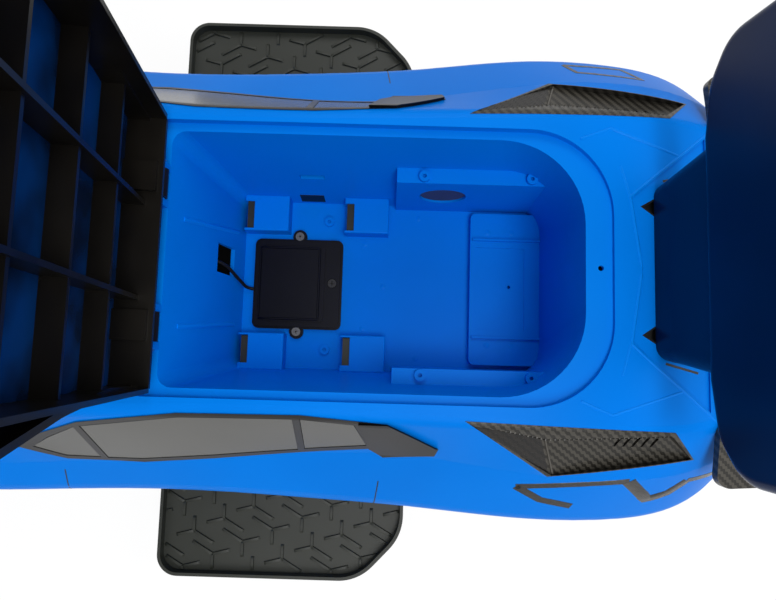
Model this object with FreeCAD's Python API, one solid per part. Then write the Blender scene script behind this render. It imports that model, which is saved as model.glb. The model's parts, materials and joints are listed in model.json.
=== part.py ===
"""Child's foot-to-floor sports car: blue moulded body with an under-seat tub, hinged seat lid, battery box,
backrest, spoiler, slide-in footrests, tie-rod steering and four spinning wheels.

Millimetres. X runs from the nose (-X) to the tail (+X), +Y is the driver's right, +Z is up.
The origin is on the ground, midway between nose and tail and between the two sides.
"""
import FreeCAD
import Part

import math
import os

Vec = FreeCAD.Vector

# ---- overall car -----------------------------------------------------------------------------------------
LENGTH = 840.0              # nose to tail
WALL = 3.5                  # moulded wall of the body
AXLE_X = 225.0              # each axle from mid length
WHEEL_R = 74.0              # tyre outer radius, and so the axle height
TYRE_IN_R = 51.0            # tyre bore on the rim
WHEEL_WIDTH = 48.0
WHEEL_IN_Y = 122.0          # inner face of every wheel
WHEEL_OUT_Y = WHEEL_IN_Y + WHEEL_WIDTH
AXLE_R = 4.0
RUN = 0.06                  # radial running clearance of every shaft
GAP = 0.4                   # free gap between pieces that move past each other
SEAT_FIT = 0.3              # gap between trims and their recesses

# ---- storage tub -----------------------------------------------------------------------------------------
DECK_Z = 250.0
LEDGE_Z = 243.0             # ledge that the lid's lip hangs above
FLOOR_Z = 102.0             # tub floor, upper face
TUB_FRONT_RIM_X = -34.0
TUB_FRONT_FLOOR_X = -12.0
TUB_REAR_X = 262.0
TUB_RIM_HALF = 91.3
TUB_FLOOR_HALF = 78.0
REBATE_HALF = 97.4
REBATE_REAR_X = 281.0
REBATE_FRONT_X = -50.0
REAR_CORNER_R = 60.0
LEDGE_HOLE_X = 272.6
PAD_FRONT_X = 198.0         # raised pad over the rear axle
PAD_HALF = 70.0
PAD_H = 10.0
ARCH_BOX_FRONT_X = 128.0    # wheel boxes that stand in the tub
ARCH_BOX_REAR_X = 272.0
ARCH_BOX_HALF = 74.0
ARCH_BOX_Z = 190.0
ARCH_GAP = 13.0             # wheel arch beyond the tyre, rear
STEER_ARCH_IN_Y = 80.0      # inner wall of the front arches
STEER_ARCH_GAP = 21.0       # wheel arch beyond the tyre, front
PEEP_R = 20.0               # round opening in the driver's right wheel box
PEEP_X = 168.0
PEEP_Z = 152.0

# ---- footrests -------------------------------------------------------------------------------------------
REST_FRONT_X = -93.0
REST_REAR_X = 144.0
REST_IN_Y = 186.0
REST_OUT_Y = 281.0
REST_Z = 45.0               # underside of the tray
REST_RIM_H = 13.0
REST_WALL = 3.0
TONGUE_W = 36.0
TONGUE_X = (10.0, 101.5)    # middle of each of a footrest's two tongues
TONGUE_T = 10.0
TONGUE_TIP_Y = 49.5
RISER_Y = 110.0
RISER_T = 12.0
HOUSING_IN_Y = 46.8
HOUSING_Z = 120.0
HOUSING_T = 2.0
WINDOW_W = 9.0              # window in each housing that shows the tongue

# ---- seat lid --------------------------------------------------------------------------------------------
HINGE_X = -39.0
HINGE_Z = 252.0
LID_OPEN_DEG = 82.0
LID_LENGTH = 320.0
LID_LOW = 4.0               # skirt edge above the hinge axis, lid closed
LID_TOP = 28.0              # seat top above the hinge axis, lid closed
LID_DISH = 6.0
LID_WALL = 3.0
LID_RIM_T = 10.0            # hinge-side rim, from the hinge axis along the closed lid
LID_RIM_DROP = 6.5          # its edge below the hinge axis
HINGE_PIN_R = 3.0
LUG_IN_Y = 40.0
LUG_OUT_Y = 60.0
EAR_T = 5.0
LUG_R = 7.0

# ---- steering --------------------------------------------------------------------------------------------
KINGPIN_Y = 100.0
KINGPIN_R = 4.0
STEER_ARM = 36.0
CRANK = 24.0
COLUMN_TILT_DEG = 20.0
COLUMN_R = 6.0
CRANK_Z = 86.0
TIE_Z = 66.0
TIE_T = 7.0
TIE_FRONT = 9.0            # tie rod ahead of and behind its pins
TIE_BACK = 11.5
STEER_PIN_R = 3.0
STEER_DEG = 18.0            # a front wheel to either side
BEAM_T = 12.0
BEAM_HALF_W = 11.0
EAR_TOP_Z = 96.0            # beam ear over each kingpin
STUB_IN_Y = KINGPIN_Y + KINGPIN_R + 2.0
HAND_WHEEL_R = 74.0
HAND_WHEEL_Z = 312.0
GRIP_R = 8.5
BUTTON_R = 8.0
BUTTON_Y = 42.0
BUTTON_TRAVEL = 2.5

# ---- battery box -----------------------------------------------------------------------------------------
BOX_X0 = -2.0
BOX_X1 = 80.0
BOX_HALF = 42.0
BOX_FLANGE_T = 3.0
COVER_T = 3.5
BOX_DEPTH = 20.0
CELL_R = 7.1
CELL_L = 50.0
CELL_X = tuple(BOX_X0 + 18.0 + 16.0 * i for i in range(3))
CELL_Z = FLOOR_Z - BOX_DEPTH + 2.0 + CELL_R + 0.3
BOX_EAR_X = 39.3
BOX_EAR_Y = 44.5
COVER_SCREW = (71.0, 1.0)
SCREW_R = 1.9
SCREW_FIT = 0.1
SCREW_HEAD_R = 4.0
WIRE_R = 1.5
WIRE_ROUTE = ((-1.0, -6.0, 103.6), (-8.0, -5.0, 108.0), (-13.0, 2.0, 124.0), (-20.0, 12.0, 143.0),
              (-46.0, 16.0, 160.0), (-84.0, 22.0, 180.0), (-118.0, 34.0, 204.0), (-136.5, 43.5, 232.0),
              (-137.0, 44.0, 249.0))
MODULE_X = -137.0
MODULE_Y = 44.0
POD_Z = 266.0               # top of the dashboard

# ---- backrest --------------------------------------------------------------------------------------------
BACK_SCREW_X = 323.0
BACK_SCREW_Y = 30.0
# The neck's sections from the deck up: height, front and rear X, half width.
NECK = ((232.0, 310.0, 335.0, 62.0), (262.0, 312.5, 336.0, 66.0), (304.0, 317.0, 339.0, 73.0))
BACK_Z0 = 298.0             # lower edge of the panel on the neck
BACK_Z1 = 412.0
BACK_OUTLINE = ((74, BACK_Z0), (108, 304), (131, 322), (131, 384), (113, 401), (80, BACK_Z1))
BACK_RADII = (8.0, 30.0, 26.0, 26.0, 30.0, 40.0)
BACK_T = 21.0               # panel thickness at its lower edge
BACK_TOP_T = 15.0
BACK_LEAN = 18.0            # how much further back its top stands

# ---- chassis ---------------------------------------------------------------------------------------------
PAN_Z = 44.0
PAN_T = 4.0
POST_R = 6.5
POSTS = ((-90.0, 62.0), (150.0, 58.0), (345.0, 62.0))

# One row for each station along the body: X, then the half width and height of the deck edge, of the window
# sill, of the shoulder, of the lower side and of the sill bottom.
STATIONS = (
    (-420.0, (50, 112), (80, 104), (98, 94), (98, 66), (84, 52)),
    (-410.0, (64, 126), (102, 117), (124, 103), (122, 64), (108, 48)),
    (-385.0, (80, 146), (124, 136), (148, 117), (145, 62), (131, 46)),
    (-340.0, (90, 166), (142, 160), (168, 137), (163, 60), (149, 44)),
    (-280.0, (96, 186), (151, 181), (179, 156), (171, 60), (158, 44)),
    (-220.0, (102, 208), (156, 192), (183, 165), (174, 60), (162, 44)),
    (-165.0, (107, 236), (156, 184), (183, 160), (176, 60), (164, 44)),
    (-115.0, (110, 249), (153, 181), (182, 153), (176, 60), (164, 44)),
    (-40.0, (108, 250), (150, 181), (181, 152), (175, 60), (163, 44)),
    (50.0, (107, 250), (141, 189), (184, 153), (178, 60), (165, 44)),
    (130.0, (109, 250), (137, 203), (187, 157), (181, 60), (168, 44)),
    (200.0, (110, 250), (144, 211), (190, 167), (184, 62), (170, 46)),
    (270.0, (112, 247), (151, 213), (192, 169), (185, 64), (171, 48)),
    (330.0, (110, 241), (147, 212), (188, 165), (182, 68), (168, 52)),
    (375.0, (98, 233), (132, 206), (172, 160), (166, 74), (152, 58)),
    (405.0, (82, 223), (110, 197), (145, 152), (140, 80), (126, 66)),
    (420.0, (66, 210), (90, 186), (118, 144), (112, 86), (98, 74)),
)
TROUGH_DEPTH = 1.5
EDGE_R = (11.0, 9.0, 20.0, 14.0, 5.0)      # rounding at each of those five edges


# ---- helpers ---------------------------------------------------------------------------------------------
def box(x0, x1, y0, y1, z0, z1):
    """A block between two corners."""
    return Part.makeBox(x1 - x0, y1 - y0, z1 - z0, Vec(x0, y0, z0))


def rod(start, end, radius):
    """A round bar from start to end."""
    way = Vec(*end) - Vec(*start)
    return Part.makeCylinder(radius, way.Length, Vec(*start), way)


def mirrored(shape):
    """The same piece on the other side of the car."""
    return shape.mirror(Vec(0, 0, 0), Vec(0, 1, 0))


def grouped(shapes):
    """Several loose solids in one node."""
    return Part.makeCompound([solid for shape in shapes for solid in shape.Solids])


def outline(points, radii):
    """A closed wire through 3-D points, each corner rounded by a tangent arc."""
    count = len(points)
    cuts = []
    for i, corner in enumerate(points):
        before = (points[i - 1] - corner).normalize()
        after = (points[(i + 1) % count] - corner).normalize()
        half_turn = before.getAngle(after) / 2
        reach = radii[i] / math.tan(half_turn)
        middle = (before + after).normalize() * (radii[i] / math.sin(half_turn) - radii[i])
        cuts.append((corner + before * reach, corner + middle, corner + after * reach))
    edges = []
    for i, (start, middle, end) in enumerate(cuts):
        edges.append(Part.Arc(start, middle, end).toShape())
        edges.append(Part.LineSegment(end, cuts[(i + 1) % count][0]).toShape())
    return Part.Wire(edges)


def grown(points, distance):
    """A plan outline pushed outwards from its middle by about a distance."""
    middle = [sum(p[i] for p in points) / len(points) for i in (0, 1)]
    moved = []
    for x, y in points:
        reach = math.hypot(x - middle[0], y - middle[1])
        moved.append((x + (x - middle[0]) * distance / reach, y + (y - middle[1]) * distance / reach))
    return moved


def polygon(points):
    """A closed wire of straight lines."""
    return Part.makePolygon([*points, points[0]])


def plan(points, z0, z1, radius=0.0):
    """A prism on an XY outline, with its corners rounded where a radius, or a list of them, is given."""
    corners = [Vec(x, y, z0) for x, y in points]
    radii = radius if isinstance(radius, list) else [radius] * len(corners)
    wire = outline(corners, radii) if radius else polygon(corners)
    return Part.Face(wire).extrude(Vec(0, 0, z1 - z0))


def front_plan(points, x0, x1, radius=0.0):
    """A prism on a YZ outline, with its corners rounded where a radius, or a list of them, is given."""
    corners = [Vec(x0, y, z) for y, z in points]
    radii = radius if isinstance(radius, list) else [radius] * len(corners)
    wire = outline(corners, radii) if radius else polygon(corners)
    return Part.Face(wire).extrude(Vec(x1 - x0, 0, 0))


def rounded_box(x0, x1, half, z0, z1, radius):
    """An upright block about the centre line, with rounded corners."""
    return plan([(x0, -half), (x1, -half), (x1, half), (x0, half)], z0, z1, radius)


def inset_section(row, inset, floor_drop):
    """The ten corners of one body section, moved inwards; the bottom edge moves down by floor_drop."""
    half = [Vec(y, z, 0) for y, z in row[1:]]
    ring = [Vec(-p.x, p.y, 0) for p in half] + list(reversed(half))
    count = len(ring)
    moved = []
    for i, corner in enumerate(ring):
        lines = []
        for a, b in ((ring[i - 1], corner), (corner, ring[(i + 1) % count])):
            way = (b - a).normalize()
            normal = Vec(-way.y, way.x, 0)
            bottom = abs(a.y - row[5][1]) < 1e-6 and abs(b.y - row[5][1]) < 1e-6
            lines.append((a + normal * (-floor_drop if bottom else inset), way))
        (p, u), (q, v) = lines
        cross = u.x * v.y - u.y * v.x
        step = ((q.x - p.x) * v.y - (q.y - p.y) * v.x) / cross
        moved.append(p + u * step)
    return moved


def hull(inset=0.0, open_below=False):
    """The body's outer form, or a copy set inwards by the inset, as a smooth loft along X."""
    shrink = (LENGTH / 2 - inset) / (LENGTH / 2)
    radii = [max(r - inset, 1.5) for r in EDGE_R]
    wires = []
    for row in STATIONS:
        corners = inset_section(row, inset, 14.0 if open_below else -inset)
        points = [Vec(row[0] * shrink, p.x, p.y) for p in corners]
        wires.append(outline(points, radii + list(reversed(radii))))
    return Part.makeLoft(wires, True, False, False, 3)


OUTER = hull()
SKINS = {}


def skin(proud, depth):
    """The layer between two offsets of the body's form, from proud outside it to depth inside it."""
    for inset in (-proud, depth):
        if inset not in SKINS:
            SKINS[inset] = hull(inset)
    return SKINS[-proud].cut(SKINS[depth])


def recess(cutter, depth):
    """What a trim's seat takes out of the body: everything in the cutter above the given depth."""
    if depth not in SKINS:
        SKINS[depth] = hull(depth)
    return cutter.cut(SKINS[depth])


def tub_form(offset, z_low, z_high):
    """The tub's tapering inside, or its outside when offset by the wall."""
    wires = []
    for z in (z_low, z_high):
        share = (z - FLOOR_Z) / (LEDGE_Z - FLOOR_Z)
        front = TUB_FRONT_FLOOR_X + share * (TUB_FRONT_RIM_X - TUB_FRONT_FLOOR_X) - offset
        half = TUB_FLOOR_HALF + share * (TUB_RIM_HALF - TUB_FLOOR_HALF) + offset
        rear = TUB_REAR_X + offset
        corners = [Vec(front, -half, z), Vec(rear, -half, z), Vec(rear, half, z), Vec(front, half, z)]
        rear_r = 24.0 + share * (REAR_CORNER_R - 24.0) + offset
        wires.append(outline(corners, [10.0 + offset, rear_r, rear_r, 10.0 + offset]))
    return Part.makeLoft(wires, True, True)


def rebate_form(offset, z_low, z_high):
    """The step round the tub's mouth that the lid's lip drops into."""
    half = REBATE_HALF + offset
    front = REBATE_FRONT_X - offset
    rear = REBATE_REAR_X + offset
    corners = [Vec(front, -half, z_low), Vec(rear, -half, z_low), Vec(rear, half, z_low), Vec(front, half, z_low)]
    wire = outline(corners, [8.0 + offset, REAR_CORNER_R + offset, REAR_CORNER_R + offset, 8.0 + offset])
    return Part.Face(wire).extrude(Vec(0, 0, z_high - z_low))


def arch(x, gap, inner_y, wall):
    """One wheel arch's round space on the +Y side, grown by the wall."""
    return rod((x, inner_y - wall, WHEEL_R), (x, 260.0, WHEEL_R), WHEEL_R + gap + wall)


# ---- trims set into the body's skin, given for the +Y side -----------------------------------------------
WINDOW_FRAME = ((-152, 140), (-125, 128), (-89, 117), (-18, 108), (67, 107), (126, 112), (163, 131),
                (161, 137), (123, 141), (112, 134), (60, 140), (-7, 148), (-63, 153), (-120, 151))
PANES = (((-138, 140), (-121, 131), (-94, 121), (-94, 149), (-119, 148)),
         ((-89, 120), (-18, 111), (61, 110), (59, 137.5), (-7, 145), (-63, 150), (-89, 149.5)),
         ((66, 110), (103, 113), (111, 131), (64, 136.5)))
VENT = ((178, 107.5), (324, 112), (347, 133), (243, 149))
# The vent's faces: its front tip, the ridge's two ends, and the two rear corners.
VENT_FACES = ((180, 109.5, 249.0), (236, 119, 229.0), (246, 148, 211.5), (345, 132.6, 216.5), (322, 114.5, 231.0))
VENT_DEPTH = 20.0
WEDGE = ((106, 112.5), (126, 112.5), (162, 131), (160.5, 136.6), (123, 140.6), (113, 133.6))
WEDGE_PROUD = 3.0
TRIM_DEPTH = 2.4
DECK_VENT = ((301, 45.7), (314, 53.5), (314, 37.0))
WINDSCREEN = ((-290, 60), (-290, -60), (-203, -84), (-203, 84))
TROUGH = ((301, -8), (293, -51), (350, -98), (350, 98), (293, 51), (301, 8))
GRILLE = ((-60, 64), (60, 64), (48, 96), (-48, 96))
INTAKE = ((70, 62), (112, 66), (104, 94), (66, 96))
TAIL_LIGHT = ((56, 168), (104, 158), (98, 176), (58, 188))
DIFFUSER = ((-92, 90), (92, 90), (76, 120), (-76, 120))
EXHAUST_Y = 28.0
EXHAUST_Z = 105.0
EXHAUST_R = 11.0
LOUVRES = 5
HEADLIGHT = ((-398, 92), (-372, 96), (-330, 116), (-318, 142), (-345, 134), (-392, 112))


def window_frame():
    """Black gasket round the side glass, with two pillars and the raised rear wedge."""
    frame = skin(0.8, TRIM_DEPTH).common(plan(WINDOW_FRAME, 120, 270))
    for pane in PANES:
        frame = frame.cut(plan(pane, 100, 290))
    return frame.fuse(skin(WEDGE_PROUD, TRIM_DEPTH).common(plan(WEDGE, 120, 270)))


def side_window():
    """The three side panes of one side."""
    layer = skin(0.4, TRIM_DEPTH)
    panes = []
    for pane in PANES:
        middle = [sum(p[i] for p in pane) / len(pane) for i in (0, 1)]
        shrunk = [(x + (0.3 if x < middle[0] else -0.3), y + (0.3 if y < middle[1] else -0.3)) for x, y in pane]
        panes.append(layer.common(plan(shrunk, 120, 270)))
    return grouped(panes)


def side_vent():
    """Scooped side intake: a front facet and a rear facet that meet at a ridge, and louvre slots."""
    insert = skin(0.3, VENT_DEPTH).common(plan(VENT, 150, 270))
    tip, ridge_in, ridge_out, rear_out, rear_in = (Vec(*p) for p in VENT_FACES)
    for face in ((tip, ridge_in, ridge_out), (ridge_in, rear_out, ridge_out), (ridge_in, rear_in, rear_out)):
        insert = insert.cut(Part.Face(polygon(face)).extrude(Vec(0, 0, 60)))
    for i in range(LOUVRES):
        x = 290.0 + 6.5 * i
        insert = insert.cut(plan(((x, 117.5), (x + 2.2, 117.5), (x - 1.5, 124.5), (x - 3.7, 124.5)), 222, 260))
    return insert


def trim_recesses():
    """Everything that the set-in trims take out of the body, on both sides."""
    cuts = [recess(plan(WINDOW_FRAME, 100, 290), TRIM_DEPTH + SEAT_FIT),
            recess(plan(VENT, 130, 290), VENT_DEPTH + SEAT_FIT),
            recess(plan(HEADLIGHT, 60, 250), 3.0 + SEAT_FIT),
            plan(DECK_VENT, DECK_Z - 16, 290)]
    both = cuts + [mirrored(cut) for cut in cuts]
    both.append(recess(plan(WINDSCREEN, 170, 290), TRIM_DEPTH + SEAT_FIT))
    both.append(recess(plan(TROUGH, 200, 290), TROUGH_DEPTH))
    both.append(recess(front_plan(GRILLE, -440, -395), 3.0 + SEAT_FIT))
    both.append(recess(front_plan(DIFFUSER, 395, 440), 3.0 + SEAT_FIT))
    for shape, x0, x1 in ((INTAKE, -440, -380), (TAIL_LIGHT, 385, 440)):
        cut = recess(front_plan(shape, x0, x1), 3.0 + SEAT_FIT)
        both += [cut, mirrored(cut)]
    for y in (EXHAUST_Y, -EXHAUST_Y):
        both.append(rod((398, y, EXHAUST_Z), (440, y, EXHAUST_Z), EXHAUST_R))
    return both


# ---- body ------------------------------------------------------------------------------------------------
def column_point(z):
    """The point of the steering column's axis at a height."""
    return Vec(COLUMN_X + (z - CRANK_Z) * math.tan(math.radians(COLUMN_TILT_DEG)), 0, z)


TILT = math.radians(COLUMN_TILT_DEG)
TIE_X = -AXLE_X - STEER_ARM
PIN_Z = TIE_Z + TIE_T / 2
# The crank's pin leans with the column, and meets the tie rod at TIE_X with the wheels straight.
PIN_TOP_Z = CRANK_Z + CRANK * math.sin(TILT)
COLUMN_X = TIE_X + CRANK * math.cos(TILT) + (PIN_TOP_Z - PIN_Z) * math.tan(TILT)
COLUMN_AXIS = Vec(math.sin(TILT), 0, math.cos(TILT))


def tongue_slots(side, extra):
    """Room for one footrest's tongues and risers, as blocks grown by extra."""
    cuts = []
    for x in TONGUE_X:
        x0 = x - TONGUE_W / 2 - extra
        x1 = x + TONGUE_W / 2 + extra
        z_tip = HOUSING_Z - HOUSING_T - GAP - TONGUE_T
        cuts.append(box(x0, x1, TONGUE_TIP_Y - extra, RISER_Y + RISER_T, z_tip - extra,
                        z_tip + TONGUE_T + extra))
    return cuts if side > 0 else [mirrored(cut) for cut in cuts]


def body_shell():
    """The blue body: outer skin, tub, wheel arches, posts and every seat cut in it."""
    inner_y = ARCH_BOX_HALF + WALL
    kept = [arch(AXLE_X, ARCH_GAP, inner_y, WALL), arch(-AXLE_X, STEER_ARCH_GAP, STEER_ARCH_IN_Y, WALL)]
    kept += [mirrored(shape) for shape in kept]
    kept += [tub_form(WALL, FLOOR_Z - WALL, DECK_Z - 2), rebate_form(WALL, LEDGE_Z - WALL, DECK_Z - 2)]
    for x, y in POSTS:
        kept += [rod((x, side, PAN_Z + PAN_T), (x, side, 260.0), POST_R) for side in (y, -y)]
    vent_walls = recess(plan(grown(VENT, WALL), 130, 290), VENT_DEPTH + WALL)
    kept += [vent_walls, mirrored(vent_walls)]
    hollow = hull(WALL, True)
    for shape in kept:
        hollow = hollow.cut(shape)
    shell = OUTER.cut(hollow)
    shell = shell.cut(tub_form(0.0, FLOOR_Z, LEDGE_Z)).cut(rebate_form(0.0, LEDGE_Z, DECK_Z + 60))

    arch_box = box(ARCH_BOX_FRONT_X, ARCH_BOX_REAR_X, ARCH_BOX_HALF, 98.0, FLOOR_Z - WALL, ARCH_BOX_Z)
    inside = [arch_box, mirrored(arch_box), axle_pad()]
    inside += [housing(side, x) for side in (1, -1) for x in TONGUE_X]
    inside += tub_bosses()
    inside += hinge_ears()
    for shape in inside:
        shell = shell.fuse(shape)

    cuts = []
    for x, gap, y in ((AXLE_X, ARCH_GAP, inner_y), (-AXLE_X, STEER_ARCH_GAP, STEER_ARCH_IN_Y)):
        cuts.append(arch(x, gap, y, 0.0))
        cuts.append(mirrored(cuts[-1]))
    cuts += trim_recesses()
    for side in (1, -1):
        cuts += tongue_slots(side, GAP)
        cuts += side_notches(side)
    cuts += tub_openings()
    cuts += axle_openings()
    for shape in cuts:
        shell = shell.cut(shape)
    return shell


def axle_openings():
    """Openings in the arches' inner walls for the rear axle, the front beam and the tie rod."""
    cuts = [rod((AXLE_X, -110.0, WHEEL_R), (AXLE_X, 110.0, WHEEL_R), AXLE_R + 3.0)]
    for side in (1, -1):
        near = STEER_ARCH_IN_Y - WALL - 2.0
        cut = box(TIE_X - 22, -AXLE_X + 26, near, near + WALL + 4.0, PAN_Z - 4, WHEEL_R + 26)
        cuts.append(cut if side > 0 else mirrored(cut))
    return cuts


def axle_pad():
    """Raised pad over the rear axle, with a shallow panel framed by ribs."""
    pad = rounded_box(PAD_FRONT_X, TUB_REAR_X + WALL / 2, PAD_HALF, FLOOR_Z - 1, FLOOR_Z + PAD_H, 5.0)
    top = FLOOR_Z + PAD_H
    for y in (-46.0, 44.0):
        pad = pad.fuse(box(PAD_FRONT_X + 2, TUB_REAR_X, y, y + 2.0, top - 1, top + 3.0))
    pad = pad.cut(rounded_box(PAD_FRONT_X + 4, 248.0, 38.0, top - 1.2, top + 5, 2.0))
    return pad.cut(rod((234.0, 2.0, top - 8), (234.0, 2.0, top + 5), 1.6))


def housing(side, x):
    """One hollow block on the tub floor that a footrest's tongue slides into."""
    half = TONGUE_W / 2 + GAP + HOUSING_T
    outer_y = TUB_FLOOR_HALF + 2.0
    block = box(x - half, x + half, HOUSING_IN_Y, outer_y, FLOOR_Z - 1, HOUSING_Z)
    block = block.makeFillet(1.5, [edge for edge in block.Edges if edge.BoundBox.ZMin > HOUSING_Z - 0.1])
    room = box(x - half + HOUSING_T, x + half - HOUSING_T, HOUSING_IN_Y + HOUSING_T, outer_y + 1,
               FLOOR_Z, HOUSING_Z - HOUSING_T)
    window = box(x - half - 1, x - half + WINDOW_W, HOUSING_IN_Y + HOUSING_T, outer_y - 6, FLOOR_Z + 4, HOUSING_Z + 1)
    block = block.cut(room).cut(window)
    return block if side > 0 else mirrored(block)


def tub_bosses():
    """Screw bosses and small moulded pips in the tub."""
    spots = [(150.0, 79.0, ARCH_BOX_Z, 4.0), (236.0, 79.0, ARCH_BOX_Z, 4.0), (-3.0, 76.0, FLOOR_Z, 9.0),
             (66.0, 60.0, FLOOR_Z, 3.0)]
    bosses = []
    for x, y, z, height in spots:
        for side in (y, -y):
            boss = rod((x, side, z - 1), (x, side, z + height), 4.5)
            bosses.append(boss.cut(rod((x, side, z + 0.5), (x, side, z + height + 1), 1.6)))
    return bosses


def hinge_ears():
    """Four ears on the tub's front ledge that hold the lid's two hinge pins."""
    ears = []
    for y0 in (LUG_IN_Y - GAP - EAR_T, LUG_OUT_Y + GAP):
        for side in (1, -1):
            ear = box(HINGE_X - 5, HINGE_X + 5, y0, y0 + EAR_T, LEDGE_Z - 1, HINGE_Z)
            ear = ear.fuse(rod((HINGE_X, y0, HINGE_Z), (HINGE_X, y0 + EAR_T, HINGE_Z), 5.0))
            ear = ear.cut(rod((HINGE_X, y0 - 1, HINGE_Z), (HINGE_X, y0 + EAR_T + 1, HINGE_Z), HINGE_PIN_R + RUN))
            ears.append(ear if side > 0 else mirrored(ear))
    return ears


def tub_openings():
    """Slots and holes in the tub and the body's top."""
    cuts = [rod((PEEP_X, 60.0, PEEP_Z), (PEEP_X, 96.0, PEEP_Z), PEEP_R)]
    cuts.append(box(46.0, 67.0, 76.0, 104.0, 161.0, 169.0))
    cuts.append(box(-40.0, -5.0, 2.0, 27.0, 126.0, 160.0))
    cuts.append(box(BOX_X0 + 6, BOX_X1 - 6, -BOX_HALF + 6, BOX_HALF - 6, FLOOR_Z - 10, FLOOR_Z + 1))
    cuts.append(rod((LEDGE_HOLE_X, 0.5, LEDGE_Z - WALL - 1), (LEDGE_HOLE_X, 0.5, LEDGE_Z + 1), 2.0))
    low = column_point(150.0)
    cuts.append(rod(tuple(low), tuple(column_point(290.0)), COLUMN_R + 9.0))
    for y in (-BOX_EAR_Y, BOX_EAR_Y):
        cuts.append(rod((BOX_EAR_X, y, FLOOR_Z - 5), (BOX_EAR_X, y, FLOOR_Z + 1), SCREW_R + SCREW_FIT))
    for x, y in POSTS:
        for side in (y, -y):
            cuts.append(rod((x, side, PAN_Z), (x, side, PAN_Z + 22), SCREW_R + SCREW_FIT))
    for y in (-BACK_SCREW_Y, BACK_SCREW_Y):
        cuts.append(rod((BACK_SCREW_X, y, 215.0), (BACK_SCREW_X, y, 262.0), SCREW_R + SCREW_FIT))
    cuts.append(rod((MODULE_X, MODULE_Y, 225.0), (MODULE_X, MODULE_Y, 255.0), 4.0))
    return cuts


def side_notches(side):
    """Notches in the sill that a footrest's two arms pass through."""
    cuts = []
    for x in TONGUE_X:
        half = TONGUE_W / 2 + GAP
        cuts.append(box(x - half, x + half, RISER_Y, 230.0, PAN_Z + PAN_T, PAN_Z + PAN_T + TONGUE_T + 2.5))
    return cuts if side > 0 else [mirrored(cut) for cut in cuts]


# ---- chassis and steering --------------------------------------------------------------------------------
def chassis_pan():
    """Black pan under the car, with saddles for the rear axle and counterbored screw holes."""
    half = [(-392, 66), (-345, 112), (-322, 74), (-128, 74), (-122, 152), (128, 156), (136, 73),
            (314, 73), (322, 128), (366, 108)]
    pan = plan(half + [(x, -y) for x, y in reversed(half)], PAN_Z, PAN_Z + PAN_T)
    pieces = [box(-118.0, 128.0, y, y + 2.5, PAN_Z + PAN_T, PAN_Z + PAN_T + 10) for y in (-72, -26, 23.5, 69.5)]
    for y in (52.0, -64.0):
        pieces.append(box(AXLE_X - 11, AXLE_X + 11, y, y + 12, PAN_Z + PAN_T, WHEEL_R + 11))
    for piece in pieces:
        pan = pan.fuse(piece)
    pan = pan.cut(rod((AXLE_X, -90, WHEEL_R), (AXLE_X, 90, WHEEL_R), AXLE_R + RUN))
    for x, y in POSTS:
        for side in (y, -y):
            pan = pan.cut(rod((x, side, PAN_Z - 1), (x, side, PAN_Z + PAN_T + 1), SCREW_R + SCREW_FIT))
            pan = pan.cut(rod((x, side, PAN_Z - 1), (x, side, PAN_Z + 2.4), SCREW_HEAD_R + 0.3))
    return pan


def body_screws():
    """Six screws that hold the pan to the body's posts."""
    screws = []
    for x, y in POSTS:
        for side in (y, -y):
            screws.append(screw((x, side, PAN_Z + 0.2), (0, 0, 1), 18.0))
    return grouped(screws)


def screw(head, way, length):
    """A pan-head screw with a cross slot; head is the outer face of its head, way points along its shank."""
    start = Vec(*head)
    axis = Vec(*way)
    body = Part.makeCylinder(SCREW_HEAD_R, 2.0, start, axis)
    body = body.fuse(Part.makeCylinder(SCREW_R, length, start, axis))
    across = axis.cross(Vec(1, 0, 0)) if abs(axis.x) < 0.9 else axis.cross(Vec(0, 1, 0))
    for side in (across, axis.cross(across)):
        bar = Part.makeCylinder(0.45, 4.4, start - side.normalize() * 2.2, side)
        body = body.cut(bar)
    return body


def front_beam():
    """Cross beam with an ear over each kingpin and the socket for the column's foot."""
    low = PAN_Z + PAN_T
    top = low + BEAM_T
    x0 = -AXLE_X - BEAM_HALF_W
    x1 = -AXLE_X + BEAM_HALF_W
    beam = box(x0, x1, -KINGPIN_Y - 10, KINGPIN_Y + 10, low, top)
    for side in (1, -1):
        web = box(x0, x1, 84.0, 89.0, top - 1, EAR_TOP_Z)
        ear = box(x0, x1, 84.0, KINGPIN_Y + 10, EAR_TOP_Z - 6, EAR_TOP_Z)
        beam = beam.fuse(web if side > 0 else mirrored(web)).fuse(ear if side > 0 else mirrored(ear))
        pin = side * KINGPIN_Y
        beam = beam.cut(rod((-AXLE_X, pin, low - 1), (-AXLE_X, pin, 120), KINGPIN_R + RUN))
    foot = low + 15.0
    boss = rod(tuple(column_point(low + 6)), tuple(column_point(foot + 10)), COLUMN_R + 4)
    beam = beam.fuse(boss)
    return beam.cut(rod(tuple(column_point(foot)), tuple(column_point(foot + 30)), COLUMN_R + RUN))




def kingpins():
    """The two pins that the front knuckles turn on."""
    pins = []
    for y in (KINGPIN_Y, -KINGPIN_Y):
        pin = rod((-AXLE_X, y, PAN_Z + PAN_T), (-AXLE_X, y, EAR_TOP_Z + 2), KINGPIN_R)
        pins.append(pin.fuse(rod((-AXLE_X, y, EAR_TOP_Z), (-AXLE_X, y, EAR_TOP_Z + 3), KINGPIN_R + 3)))
    return grouped(pins)


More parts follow.
